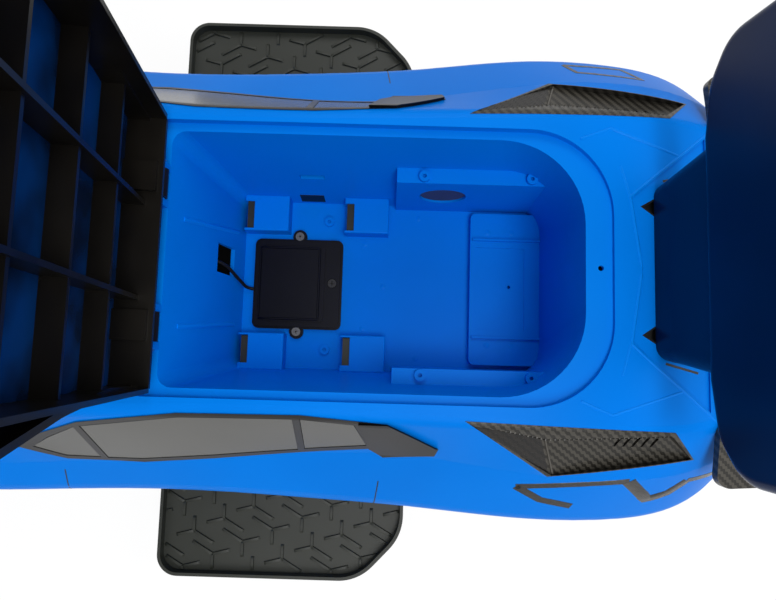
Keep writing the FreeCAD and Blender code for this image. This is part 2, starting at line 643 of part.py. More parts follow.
def knuckle():
    """Right front knuckle: sleeve on the kingpin, socket of the stub axle, and the steering arm."""
    low = PAN_Z + PAN_T + BEAM_T + GAP
    sleeve = rod((-AXLE_X, KINGPIN_Y, low), (-AXLE_X, KINGPIN_Y, EAR_TOP_Z - 6 - GAP), 9.0)
    boss = rod((-AXLE_X, KINGPIN_Y, WHEEL_R), (-AXLE_X, WHEEL_IN_Y - 4, WHEEL_R), 8.2)
    arm_z = TIE_Z + TIE_T + 3.0
    arm = box(TIE_X, -AXLE_X, KINGPIN_Y - 5, KINGPIN_Y + 5, arm_z, arm_z + 7)
    arm = arm.fuse(rod((TIE_X, KINGPIN_Y, arm_z), (TIE_X, KINGPIN_Y, arm_z + 7), 5.0))
    pin = rod((TIE_X, KINGPIN_Y, TIE_Z + 0.5), (TIE_X, KINGPIN_Y, arm_z + 1), STEER_PIN_R)
    piece = sleeve.fuse(boss).fuse(arm).fuse(pin)
    piece = piece.cut(rod((-AXLE_X, KINGPIN_Y, 40), (-AXLE_X, KINGPIN_Y, 120), KINGPIN_R + RUN))
    return piece.cut(rod((-AXLE_X, STUB_IN_Y, WHEEL_R), (-AXLE_X, 130, WHEEL_R), AXLE_R + 0.03))




def stub_axle():
    """Right front stub axle with its retaining head."""
    pin = rod((-AXLE_X, STUB_IN_Y, WHEEL_R), (-AXLE_X, WHEEL_OUT_Y + 2, WHEEL_R), AXLE_R)
    return pin.fuse(rod((-AXLE_X, WHEEL_OUT_Y - 1, WHEEL_R), (-AXLE_X, WHEEL_OUT_Y + 2, WHEEL_R), 8.0))


def tie_rod():
    """Flat bar that joins both steering arms and the column's crank, with a slot for each pin."""
    half = KINGPIN_Y + 8
    bar = box(TIE_X - TIE_FRONT, TIE_X + TIE_BACK, -half, half, TIE_Z, TIE_Z + TIE_T)
    arm_rise = STEER_ARM * (1 - math.cos(math.radians(STEER_DEG)))
    crank_rise = CRANK * (1 - math.cos(math.asin(STEER_ARM * math.sin(math.radians(STEER_DEG)) / CRANK)))
    lean = TIE_T / 2 * math.tan(TILT)
    slots = [(KINGPIN_Y, 0.0, arm_rise), (-KINGPIN_Y, 0.0, arm_rise), (0.0, -lean, crank_rise * 1.1 + lean)]
    for y, start, end in slots:
        radius = STEER_PIN_R + 0.45
        x0 = TIE_X + start - 0.2
        x1 = TIE_X + end + 0.2
        slot = box(x0, x1, y - radius, y + radius, TIE_Z - 1, TIE_Z + TIE_T + 1)
        for x in (x0, x1):
            slot = slot.fuse(rod((x, y, TIE_Z - 1), (x, y, TIE_Z + TIE_T + 1), radius))
        bar = bar.cut(slot)
    return bar


def steering_column():
    """Bent steel rod: the leaning column, its crank and the crank's pin."""
    foot = column_point(PAN_Z + PAN_T + 15.3)
    top = column_point(HAND_WHEEL_Z) - COLUMN_AXIS * 2
    elbow = column_point(CRANK_Z)
    ahead = Vec(-math.cos(TILT), 0, math.sin(TILT))
    crank_end = elbow + ahead * CRANK
    pin_end = crank_end - COLUMN_AXIS * ((PIN_TOP_Z - TIE_Z + 1) / math.cos(TILT))
    shape = rod(tuple(foot), tuple(top), COLUMN_R)
    shape = shape.fuse(rod(tuple(elbow), tuple(crank_end), COLUMN_R - 1))
    shape = shape.fuse(Part.makeSphere(COLUMN_R - 1, crank_end))
    return shape.fuse(rod(tuple(crank_end), tuple(pin_end), STEER_PIN_R))


def in_wheel_frame(shape):
    """Moves a shape from the hand wheel's own frame, Z along the column, to its place."""
    placed = shape.copy()
    turn = FreeCAD.Rotation(Vec(0, 1, 0), COLUMN_TILT_DEG)
    placed.Placement = FreeCAD.Placement(column_point(HAND_WHEEL_Z), turn)
    return placed


def steering_wheel():
    """Three-spoke hand wheel with a well for each horn button."""
    ring_r = HAND_WHEEL_R - GRIP_R
    shape = Part.makeTorus(ring_r, GRIP_R)
    hub = Part.makeCylinder(28.0, 22.0, Vec(0, 0, -14))
    shape = shape.fuse(hub.makeFillet(3.0, hub.Edges))
    shape = shape.fuse(box(-BUTTON_R - 4, BUTTON_R + 4, 20, ring_r, -7, 5))
    shape = shape.fuse(box(-BUTTON_R - 4, BUTTON_R + 4, -ring_r, -20, -7, 5))
    shape = shape.fuse(box(20, ring_r, -10, 10, -7, 5))
    for y in (BUTTON_Y, -BUTTON_Y):
        shape = shape.cut(rod((0, y, -BUTTON_TRAVEL - 0.5), (0, y, 10), BUTTON_R + SEAT_FIT))
    return in_wheel_frame(shape.cut(rod((0, 0, -20), (0, 0, -1.8), COLUMN_R + 0.05)))




def horn_button(side):
    """One press button of the hand wheel."""
    button = rod((0, side * BUTTON_Y, -0.2), (0, side * BUTTON_Y, 8.0), BUTTON_R)
    return in_wheel_frame(button.makeFillet(1.5, [e for e in button.Edges if e.BoundBox.ZMin > 7.9]))


def steering_bush():
    """Bush that the column turns in at the dashboard."""
    bush = rod(tuple(column_point(POD_Z - 14)), tuple(column_point(POD_Z + 6)), COLUMN_R + 6)
    return bush.cut(rod(tuple(column_point(200)), tuple(column_point(300)), COLUMN_R + RUN))


def dashboard():
    """Hollow black pod on the cowl, round the column."""
    outer = plan(((-196, -66), (-118, -84), (-118, 84), (-196, 66)), 180, POD_Z, 12.0)
    outer = outer.makeFillet(5.0, [e for e in outer.Edges if e.BoundBox.ZMin > POD_Z - 0.1])
    inner = plan(((-192, -62), (-122, -80), (-122, 80), (-192, 62)), 170, POD_Z - 4, 9.0)
    pod = outer.cut(inner)
    tower = rod(tuple(column_point(POD_Z - 40)), tuple(column_point(POD_Z + 4)), COLUMN_R + 11)
    pod = pod.fuse(tower.common(plan(((-196, -66), (-118, -84), (-118, 84), (-196, 66)), 180, POD_Z + 3)))
    pod = pod.cut(rod(tuple(column_point(180)), tuple(column_point(300)), COLUMN_R + 6.05))
    return pod.cut(hull(-SEAT_FIT))


def sound_module():
    """Circuit box of the horn sounds, on the cowl inside the dashboard."""
    return box(MODULE_X - 13, MODULE_X + 12, MODULE_Y - 20, MODULE_Y + 14, 225, POD_Z - 6).cut(hull(-SEAT_FIT))


def speaker():
    """Small loudspeaker under the dashboard."""
    cone = rod((-158, -44, 215), (-158, -44, POD_Z - 6), 15.0)
    return cone.fuse(rod((-158, -44, POD_Z - 9), (-158, -44, POD_Z - 6), 18.0)).cut(hull(-SEAT_FIT))


# ---- wheels, given for the +Y side with the axle at the frame's X = 0 ------------------------------------
def tyre():
    """Tyre with rounded shoulders and three grooves."""
    ring = rod((0, WHEEL_IN_Y, WHEEL_R), (0, WHEEL_OUT_Y, WHEEL_R), WHEEL_R)
    ring = ring.makeFillet(7.0, [e for e in ring.Edges if e.Curve.TypeId == "Part::GeomCircle"])
    for y in (WHEEL_IN_Y + 12, WHEEL_IN_Y + 23, WHEEL_IN_Y + 34):
        groove = rod((0, y, WHEEL_R), (0, y + 2.4, WHEEL_R), WHEEL_R + 5)
        ring = ring.cut(groove.cut(rod((0, y - 1, WHEEL_R), (0, y + 4, WHEEL_R), WHEEL_R - 2.2)))
    return ring.cut(rod((0, 100, WHEEL_R), (0, 200, WHEEL_R), TYRE_IN_R + 0.05))


def wheel():
    """Rim with five twin spokes in front of a closed web."""
    def disc(y0, y1, radius):
        return rod((0, y0, WHEEL_R), (0, y1, WHEEL_R), radius)
    rim = disc(WHEEL_IN_Y + 1, WHEEL_OUT_Y - 1, TYRE_IN_R).cut(disc(100, 200, TYRE_IN_R - 5))
    rim = rim.fuse(disc(WHEEL_IN_Y + 0.4, WHEEL_OUT_Y - 2, 13.0))
    rim = rim.fuse(disc(WHEEL_IN_Y + 18, WHEEL_IN_Y + 21, TYRE_IN_R - 2))
    for i in range(5):
        for lean in (-9.0, 9.0):
            spoke = box(-3.4, 3.4, WHEEL_OUT_Y - 16, WHEEL_OUT_Y - 5, WHEEL_R + 8, WHEEL_R + TYRE_IN_R - 2)
            spoke.rotate(Vec(0, 0, WHEEL_R), Vec(0, 1, 0), 72.0 * i + lean)
            rim = rim.fuse(spoke)
    return rim.cut(disc(100, 200, AXLE_R + RUN)).cut(disc(WHEEL_OUT_Y - 2, 200, 14.0))


def hub_cap():
    """Domed cap over the end of the axle."""
    cap = rod((0, WHEEL_OUT_Y - 4.6, WHEEL_R), (0, WHEEL_OUT_Y + 6, WHEEL_R), 19.0)
    cap = cap.makeFillet(5.0, [e for e in cap.Edges if e.BoundBox.YMin > WHEEL_OUT_Y + 5.9])
    return cap.cut(rod((0, 100, WHEEL_R), (0, WHEEL_OUT_Y + 3.5, WHEEL_R), 14.0))


def at_wheel(shape, x, side):
    """Puts a wheel's piece at one corner of the car."""
    placed = shape.copy()
    placed.translate(Vec(x, 0, 0))
    return placed if side > 0 else mirrored(placed)


def rear_axle():
    """Steel rod that carries both rear wheels."""
    return rod((AXLE_X, -WHEEL_OUT_Y - 2, WHEEL_R), (AXLE_X, WHEEL_OUT_Y + 2, WHEEL_R), AXLE_R)


def axle_nuts():
    """Push nuts on the rear axle's ends."""
    nut = rod((AXLE_X, WHEEL_OUT_Y - 1, WHEEL_R), (AXLE_X, WHEEL_OUT_Y + 2, WHEEL_R), 8.0)
    nut = nut.cut(rod((AXLE_X, 100, WHEEL_R), (AXLE_X, 200, WHEEL_R), AXLE_R + 0.02))
    return grouped([nut, mirrored(nut)])


# ---- seat lid, backrest, spoiler, footrests --------------------------------------------------------------
def lid_plan(inset, z0, z1):
    """The closed lid's outline from above, set inwards, as a prism."""
    side = [(6, 94), (60, 93), (125, 99), (200, 112), (258, 118), (302, 100), (LID_LENGTH, 56)]
    half = [(HINGE_X + t, y - inset) for t, y in side]
    half[0] = (HINGE_X + side[0][0] + inset, half[0][1])
    half[-1] = (HINGE_X + LID_LENGTH - inset, side[-1][1] - inset / 2)
    radii = [12.0, 90.0, 160.0, 120.0, 44.0, 26.0, 44.0]
    radii = [max(r - inset, 4.0) for r in radii]
    return plan(half + [(x, -y) for x, y in reversed(half)], HINGE_Z + z0, HINGE_Z + z1, radii + radii[::-1])


def seat_lid():
    """Hollow seat lid with ribs, a locating lip and two hinge lugs, standing open."""
    lid = lid_plan(0.0, LID_LOW, LID_TOP)
    lid = lid.makeFillet(5.0, [e for e in lid.Edges if e.BoundBox.ZMin > HINGE_Z + LID_TOP - 0.1])
    dish_r = 420.0
    lid = lid.cut(rod((HINGE_X - 20, 0, HINGE_Z + LID_TOP - LID_DISH + dish_r),
                      (HINGE_X + LID_LENGTH - 26, 0, HINGE_Z + LID_TOP - LID_DISH + dish_r), dish_r))
    roof = LID_TOP - LID_DISH - LID_WALL
    pocket = lid_plan(LID_WALL + 1, LID_LOW - 1, roof)
    ribs = [box(HINGE_X + 6, HINGE_X + LID_LENGTH - 4, y - 1.5, y + 1.5, HINGE_Z, HINGE_Z + 60) for y in (-32, 32)]
    for i in range(4):
        x = HINGE_X + 66.0 + 60.0 * i
        ribs.append(box(x - 1.5, x + 1.5, -130, 130, HINGE_Z + LID_LOW + 2, HINGE_Z + 60))
    for rib in ribs:
        pocket = pocket.cut(rib)
    lid = lid.cut(pocket)
    lip = rebate_form(-3.4, LEDGE_Z + 2, HINGE_Z + roof + 1).cut(rebate_form(-6.4, LEDGE_Z, 400))
    lid = lid.fuse(lip.common(box(HINGE_X + 15, 400, -200, 200, 200, 400)))
    lid = lid.fuse(box(HINGE_X + LID_RIM_T, HINGE_X + LID_RIM_T + 4, -REBATE_HALF + 6, REBATE_HALF - 6,
                       HINGE_Z - LID_RIM_DROP, HINGE_Z + roof + 1))
    for side in (1, -1):
        lug = rod((HINGE_X, LUG_IN_Y, HINGE_Z), (HINGE_X, LUG_OUT_Y, HINGE_Z), LUG_R)
        lug = lug.fuse(box(HINGE_X, HINGE_X + 18, LUG_IN_Y, LUG_OUT_Y, HINGE_Z - 3, HINGE_Z + roof + 1))
        lug = lug.cut(rod((HINGE_X, 0, HINGE_Z), (HINGE_X, 100, HINGE_Z), HINGE_PIN_R + RUN))
        lid = lid.fuse(lug if side > 0 else mirrored(lug))
    lid.rotate(Vec(HINGE_X, 0, HINGE_Z), Vec(0, 1, 0), -LID_OPEN_DEG)
    return lid


def hinge_pins():
    """The two pins that the lid swings on."""
    y0 = LUG_IN_Y - GAP - EAR_T
    y1 = LUG_OUT_Y + GAP + EAR_T
    pin = rod((HINGE_X, y0 - 1, HINGE_Z), (HINGE_X, y1, HINGE_Z), HINGE_PIN_R)
    pin = pin.fuse(rod((HINGE_X, y1, HINGE_Z), (HINGE_X, y1 + 1.5, HINGE_Z), HINGE_PIN_R + 1.5))
    return grouped([pin, mirrored(pin)])




def panel_rims(panel):
    """The edges round the panel's front and rear faces."""
    rims = []
    for face in sorted(panel.Faces, key=lambda f: -f.Area)[:2]:
        rims += face.OuterWire.Edges
    return rims


def backrest():
    """Wide backrest panel on a narrow neck that stands on the rear deck."""
    wires = []
    for z, x0, x1, half in NECK:
        corners = [Vec(x0, -half, z), Vec(x1, -half, z), Vec(x1, half, z), Vec(x0, half, z)]
        wires.append(outline(corners, [11.0, 7.0, 7.0, 11.0]))
    neck = Part.makeLoft(wires, True, True)
    front = NECK[-1][1] - 2.0
    half = list(BACK_OUTLINE)
    panel = front_plan(half + [(-y, z) for y, z in reversed(half)], front - 10, front + 80,
                       list(BACK_RADII) + list(reversed(BACK_RADII)))
    side = polygon([Vec(front, 0, BACK_Z0), Vec(front + BACK_T, 0, BACK_Z0),
                    Vec(front + BACK_LEAN + BACK_TOP_T, 0, BACK_Z1), Vec(front + BACK_LEAN, 0, BACK_Z1)])
    slab = Part.Face(side).extrude(Vec(0, 320, 0))
    slab.translate(Vec(0, -160, 0))
    panel = panel.common(slab)
    panel = panel.makeFillet(6.0, panel_rims(panel))
    shape = neck.fuse(panel).cut(hull(TROUGH_DEPTH - SEAT_FIT))
    for y in (-BACK_SCREW_Y, BACK_SCREW_Y):
        shape = shape.cut(rod((BACK_SCREW_X, y, 220), (BACK_SCREW_X, y, 262), SCREW_R + SCREW_FIT))
    return shape


def backrest_screws():
    """Two screws up through the deck into the backrest."""
    under = 234.0
    return grouped([screw((BACK_SCREW_X, y, under), (0, 0, 1), 26.0) for y in (-BACK_SCREW_Y, BACK_SCREW_Y)])


def rear_spoiler():
    """Arched wing on two feet behind the backrest."""
    edges = []
    for drop, order in ((0.0, 1), (7.0, -1)):
        ends = [Vec(354, -156 * order, 230 - drop), Vec(354, 0, 247 - drop), Vec(354, 156 * order, 230 - drop)]
        edges.append(Part.Arc(*ends).toShape())
    edges.append(Part.LineSegment(Vec(354, 156, 230), Vec(354, 156, 223)).toShape())
    edges.append(Part.LineSegment(Vec(354, -156, 223), Vec(354, -156, 230)).toShape())
    wire = Part.Wire(Part.__sortEdges__(edges))
    wing = Part.Face(wire).extrude(Vec(60, 0, 0))
    wing = wing.common(plan(((356, -151), (414, -147), (414, 147), (356, 151)), 200, 300, [10.0, 16.0, 16.0, 10.0]))
    for y in (62.0, -72.0):
        wing = wing.fuse(box(368, 398, y, y + 10, 205, 242))
    return wing.cut(hull(-SEAT_FIT))


def rest_plan(inset, z0, z1):
    """A footrest's outline set inwards, as a prism: square front, long chamfer at the rear outer corner."""
    front = REST_FRONT_X + inset
    rear = REST_REAR_X - inset
    near = REST_IN_Y + inset
    far = REST_OUT_Y - inset
    diagonal = inset * math.tan(math.radians(22.5))
    corners = ((front, near), (rear, near), (rear, far - 44 + diagonal), (rear - 42 + diagonal, far), (front, far))
    radii = [10.0, 10.0, 46.0, 46.0, 20.0]
    return plan(corners, z0, z1, [r - inset for r in radii])


def footrest():
    """Right footrest: open tray with two arms, risers and tongues under the tub."""
    tray = rest_plan(0.0, REST_Z, REST_Z + REST_RIM_H)
    tray = tray.cut(rest_plan(REST_WALL, REST_Z + REST_WALL, REST_Z + 40))
    arm_z = PAN_Z + PAN_T + GAP
    tip_z = HOUSING_Z - HOUSING_T - GAP - TONGUE_T
    for x in TONGUE_X:
        x0 = x - TONGUE_W / 2
        x1 = x + TONGUE_W / 2
        tray = tray.fuse(box(x0, x1, RISER_Y, REST_IN_Y + REST_WALL, arm_z, arm_z + TONGUE_T))
        tray = tray.fuse(box(x0, x1, RISER_Y, RISER_Y + RISER_T, arm_z, tip_z + TONGUE_T))
        tray = tray.fuse(box(x0, x1, TONGUE_TIP_Y, RISER_Y + RISER_T, tip_z, tip_z + TONGUE_T))
    return tray


# ---- battery box -----------------------------------------------------------------------------------------
def battery_box():
    """Flanged box let into the tub floor, with an ear on each side."""
    top = FLOOR_Z + BOX_FLANGE_T
    shape = rounded_box(BOX_X0, BOX_X1, BOX_HALF, FLOOR_Z, top, 6.0)
    for y in (-BOX_EAR_Y, BOX_EAR_Y):
        shape = shape.fuse(rod((BOX_EAR_X, y, FLOOR_Z), (BOX_EAR_X, y, top), 6.5))
    shape = shape.fuse(box(BOX_X0 + 6.4, BOX_X1 - 6.4, -BOX_HALF + 6.4, BOX_HALF - 6.4, FLOOR_Z - BOX_DEPTH, top))
    room = box(BOX_X0 + 8.4, BOX_X1 - 8.4, -BOX_HALF + 8.4, BOX_HALF - 8.4, FLOOR_Z - BOX_DEPTH + 2, top + 1)
    shape = shape.cut(room)
    for y in (-BOX_EAR_Y, BOX_EAR_Y):
        shape = shape.cut(rod((BOX_EAR_X, y, FLOOR_Z - 1), (BOX_EAR_X, y, top + 1), SCREW_R + SCREW_FIT))
    return shape


def battery_cover():
    """Lid of the battery box with a raised plate and a screw recess."""
    low = FLOOR_Z + BOX_FLANGE_T
    shape = rounded_box(BOX_X0 + 2, BOX_X1 - 2, BOX_HALF - 2, low, low + COVER_T, 5.0)
    shape = shape.fuse(rounded_box(BOX_X0 + 8, BOX_X1 - 16, BOX_HALF - 7, low, low + COVER_T + 1.5, 4.0))
    x, y = COVER_SCREW
    shape = shape.cut(rod((x, y, low + COVER_T - 2.2), (x, y, low + 10), SCREW_HEAD_R + 0.5))
    return shape.cut(rod((x, y, low - 1), (x, y, low + 10), SCREW_R + SCREW_FIT))


def battery_cover_screw():
    """Screw of the battery cover, into a post on the box's wall."""
    x, y = COVER_SCREW
    return screw((x, y, FLOOR_Z + BOX_FLANGE_T + COVER_T - 0.1), (0, 0, -1), 3.4)


def battery_box_screws():
    """Two screws through the box's ears."""
    top = FLOOR_Z + BOX_FLANGE_T + 2.0
    return grouped([screw((BOX_EAR_X, y, top), (0, 0, -1), 9.0) for y in (-BOX_EAR_Y, BOX_EAR_Y)])




def battery_cells():
    """Three cells lying side by side."""
    cells = []
    for x in CELL_X:
        cell = rod((x, -CELL_L / 2, CELL_Z), (x, CELL_L / 2 - 1.2, CELL_Z), CELL_R)
        cells.append(cell.fuse(rod((x, CELL_L / 2 - 2, CELL_Z), (x, CELL_L / 2, CELL_Z), 2.7)))
    return grouped(cells)


def battery_contacts():
    """Contact plates at both ends of the cells, each with its spring bosses."""
    wall_y = BOX_HALF - 8.4
    plates = []
    for side in (1, -1):
        outer = wall_y - 0.1
        plate = box(CELL_X[0] - 6, CELL_X[-1] + 6, outer - 0.8, outer, CELL_Z - 6, CELL_Z + 6)
        for x in CELL_X:
            plate = plate.fuse(Part.makeCone(4.5, 2.6, outer - CELL_L / 2 - 0.9, Vec(x, outer - 0.8, CELL_Z),
                                             Vec(0, -1, 0)))
        plates.append(plate if side > 0 else mirrored(plate))
    return grouped(plates)




def battery_wire():
    """Lead from the battery box through the tub's front wall to the sound module."""
    points = [Vec(*p) for p in WIRE_ROUTE]
    edges = []
    last = points[0]
    for before, corner, after in zip(points, points[1:], points[2:]):
        inward = (before - corner).normalize()
        outward = (after - corner).normalize()
        half_turn = inward.getAngle(outward) / 2
        reach = 0.45 * min((before - corner).Length, (after - corner).Length)
        radius = reach * math.tan(half_turn)
        print("wire arc radius", round(radius, 1))
        middle = (inward + outward).normalize() * (radius / math.sin(half_turn) - radius)
        start = corner + inward * reach
        end = corner + outward * reach
        edges += [Part.LineSegment(last, start).toShape(), Part.Arc(start, corner + middle, end).toShape()]
        last = end
    edges.append(Part.LineSegment(last, points[-1]).toShape())
    path = Part.Wire(edges)
    ring = Part.Wire(Part.makeCircle(WIRE_R, points[0], points[1] - points[0]))
    tube = path.makePipeShell([ring], True, False)
    print("wire length", round(path.Length, 1), "volume share",
          round(tube.Volume / (path.Length * math.pi * WIRE_R ** 2), 4))
    return tube


# ---- trims -----------------------------------------------------------------------------------------------
def set_in(points, inset=3.0, proud=0.0, low=60, high=300):
    """A trim flush with the skin, on a plan outline."""
    return skin(proud, inset).common(plan(points, low, high))


def set_in_front(points, x0, x1):
    """A trim flush with the skin, on an outline seen from the front or the back."""
    return skin(0.0, 3.0).common(front_plan(points, x0, x1))


def pair(shape):
    """The piece and its mirror image in one node."""
    return grouped([shape, mirrored(shape)])


def deck_vents():
    """Two black triangular inlets in the deck beside the backrest, open at the top."""
    middle = [sum(p[i] for p in DECK_VENT) / 3 for i in (0, 1)]
    inner = [(middle[0] + (x - middle[0]) * 0.72, middle[1] + (y - middle[1]) * 0.72) for x, y in DECK_VENT]
    cup = plan(DECK_VENT, DECK_Z - 16, 290).cut(plan(inner, DECK_Z - 14, 300))
    return pair(cup.common(hull(TROUGH_DEPTH)))


def rear_diffuser():
    """Black lower panel of the tail with two holes for the exhaust tips."""
    panel = set_in_front(DIFFUSER, 395, 440)
    for y in (EXHAUST_Y, -EXHAUST_Y):
        panel = panel.cut(rod((390, y, EXHAUST_Z), (440, y, EXHAUST_Z), EXHAUST_R))
    return panel


def exhaust_tips():
    """Two dummy exhaust tips."""
    x1 = LENGTH / 2 - 0.2
    tip = rod((398, EXHAUST_Y, EXHAUST_Z), (x1, EXHAUST_Y, EXHAUST_Z), EXHAUST_R)
    return pair(tip.cut(rod((402, EXHAUST_Y, EXHAUST_Z), (440, EXHAUST_Y, EXHAUST_Z), EXHAUST_R - 2.5)))


def front_grille():
    """Centre grille and the intake on each side of it."""
    side = set_in_front(INTAKE, -440, -380)
    return grouped([set_in_front(GRILLE, -440, -395), side, mirrored(side)])


def write_all():
    """Builds every node and writes one STEP for each."""
    corners = {"front_left": (-AXLE_X, -1), "front_right": (-AXLE_X, 1),
               "rear_left": (AXLE_X, -1), "rear_right": (AXLE_X, 1)}
    nodes = {
        "body_shell": body_shell(),
        "chassis_pan": chassis_pan(),
        "body_screws": body_screws(),
        "front_beam": front_beam(),
        "kingpins": kingpins(),
        "knuckle_right": knuckle(),
        "knuckle_left": mirrored(knuckle()),
        "stub_axle_right": stub_axle(),
        "stub_axle_left": mirrored(stub_axle()),
        "tie_rod": tie_rod(),
        "steering_column": steering_column(),
        "steering_wheel": steering_wheel(),
        "horn_button_right": horn_button(1),
        "horn_button_left": horn_button(-1),
        "steering_bush": steering_bush(),
        "dashboard": dashboard(),
        "sound_module": sound_module(),
        "speaker": speaker(),
        "rear_axle": rear_axle(),
        "axle_nuts": axle_nuts(),
        "seat_lid": seat_lid(),
        "hinge_pins": hinge_pins(),
        "backrest": backrest(),
        "backrest_screws": backrest_screws(),
        "rear_spoiler": rear_spoiler(),
        "footrest_right": footrest(),
        "footrest_left": mirrored(footrest()),
        "battery_box": battery_box(),
        "battery_cover": battery_cover(),
        "battery_cover_screw": battery_cover_screw(),
        "battery_box_screws": battery_box_screws(),
        "battery_cells": battery_cells(),
        "battery_contacts": battery_contacts(),
        "battery_wire": battery_wire(),
        "windscreen": set_in(WINDSCREEN, TRIM_DEPTH),
        "window_frames": pair(window_frame()),
        "side_windows": pair(side_window()),
        "side_vents": pair(side_vent()),
        "deck_vents": deck_vents(),
        "headlights": pair(set_in(HEADLIGHT)),
        "front_grille": front_grille(),
        "tail_lights": pair(set_in_front(TAIL_LIGHT, 385, 440)),
        "rear_diffuser": rear_diffuser(),
        "exhaust_tips": exhaust_tips(),
    }
    for name, (x, side) in corners.items():
        nodes["tyre_" + name] = at_wheel(tyre(), x, side)
        nodes["wheel_" + name] = at_wheel(wheel(), x, side)
        nodes["hub_cap_" + name] = at_wheel(hub_cap(), x, side)
    for name, shape in nodes.items():
        if not shape.isValid() or shape.Volume <= 0:
            print("CHECK", name, shape.isValid(), shape.Volume)
        shape.exportStep("parts/" + name + ".step")


if __name__ == "__main__":
    os.makedirs("parts", exist_ok=True)
    write_all()
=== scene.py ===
"""Looks of the foot-to-floor toy sports car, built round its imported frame.

Each sub-assembly is a class that keeps its sizes as fields, builds its meshes and dresses them. Finishes are
frozen dataclasses that make one node material each. Meshes are in metres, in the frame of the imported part: +X
towards the tail, +Y towards the driver's right, +Z up. Outlines and positions that are kept as fields are in
millimetres, and MM makes metres of them.
"""

import json
import logging
import math
from dataclasses import dataclass
from enum import Enum
from typing import ClassVar, Sequence

import bmesh
import bpy
from mathutils import Matrix, Vector
from mathutils.bvhtree import BVHTree

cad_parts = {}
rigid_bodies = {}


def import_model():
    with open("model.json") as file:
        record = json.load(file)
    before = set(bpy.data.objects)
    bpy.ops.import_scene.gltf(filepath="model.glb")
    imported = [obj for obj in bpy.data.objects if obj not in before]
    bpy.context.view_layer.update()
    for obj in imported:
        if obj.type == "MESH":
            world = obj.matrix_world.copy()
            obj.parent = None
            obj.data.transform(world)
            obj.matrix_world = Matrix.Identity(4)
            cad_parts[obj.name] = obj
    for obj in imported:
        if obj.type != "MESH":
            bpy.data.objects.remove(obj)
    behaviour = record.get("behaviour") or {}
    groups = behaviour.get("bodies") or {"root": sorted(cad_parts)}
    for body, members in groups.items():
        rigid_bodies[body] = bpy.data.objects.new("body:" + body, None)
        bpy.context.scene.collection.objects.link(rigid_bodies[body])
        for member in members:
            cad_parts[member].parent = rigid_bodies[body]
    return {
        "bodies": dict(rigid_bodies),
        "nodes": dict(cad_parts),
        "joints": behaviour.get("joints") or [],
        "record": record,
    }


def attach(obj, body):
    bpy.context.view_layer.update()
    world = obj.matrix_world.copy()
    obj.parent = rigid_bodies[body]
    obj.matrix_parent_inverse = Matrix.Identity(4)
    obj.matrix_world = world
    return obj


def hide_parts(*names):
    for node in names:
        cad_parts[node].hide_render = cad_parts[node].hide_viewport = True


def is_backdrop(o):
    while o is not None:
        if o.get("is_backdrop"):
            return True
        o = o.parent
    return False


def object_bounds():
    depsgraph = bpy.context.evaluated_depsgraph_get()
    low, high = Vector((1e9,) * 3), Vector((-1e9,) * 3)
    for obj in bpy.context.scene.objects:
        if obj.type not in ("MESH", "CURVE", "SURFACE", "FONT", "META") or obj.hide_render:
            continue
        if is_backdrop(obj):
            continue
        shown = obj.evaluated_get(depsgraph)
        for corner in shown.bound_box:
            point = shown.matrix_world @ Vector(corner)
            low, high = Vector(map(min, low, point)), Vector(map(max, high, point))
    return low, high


LOG = logging.getLogger("toy_car")
MM = 0.001
DOWN = Vector((0.0, 0.0, -1.0))
FORWARD = Vector((-1.0, 0.0, 0.0))
Colour = tuple[float, float, float]
Point2 = tuple[float, float]
Point3 = tuple[float, float, float]
Socket = bpy.types.NodeSocket


class Side(Enum):
    """The two sides of the car, with the sign of Y on each."""

    RIGHT = 1
    LEFT = -1

    @property
    def word(self) -> str:
        """The side's name as the nodes use it."""
        return self.name.lower()

class Pattern(Enum):
    """What a finish's surface relief and colour variation follow."""

    MOULDED = "fine moulded grain"
    TWILL = "diagonal carbon twill"
    BRUSHED = "brushing along one way"
    RUBBER = "coarse matt rubber"
    SMOKED = "smooth smoked panel"


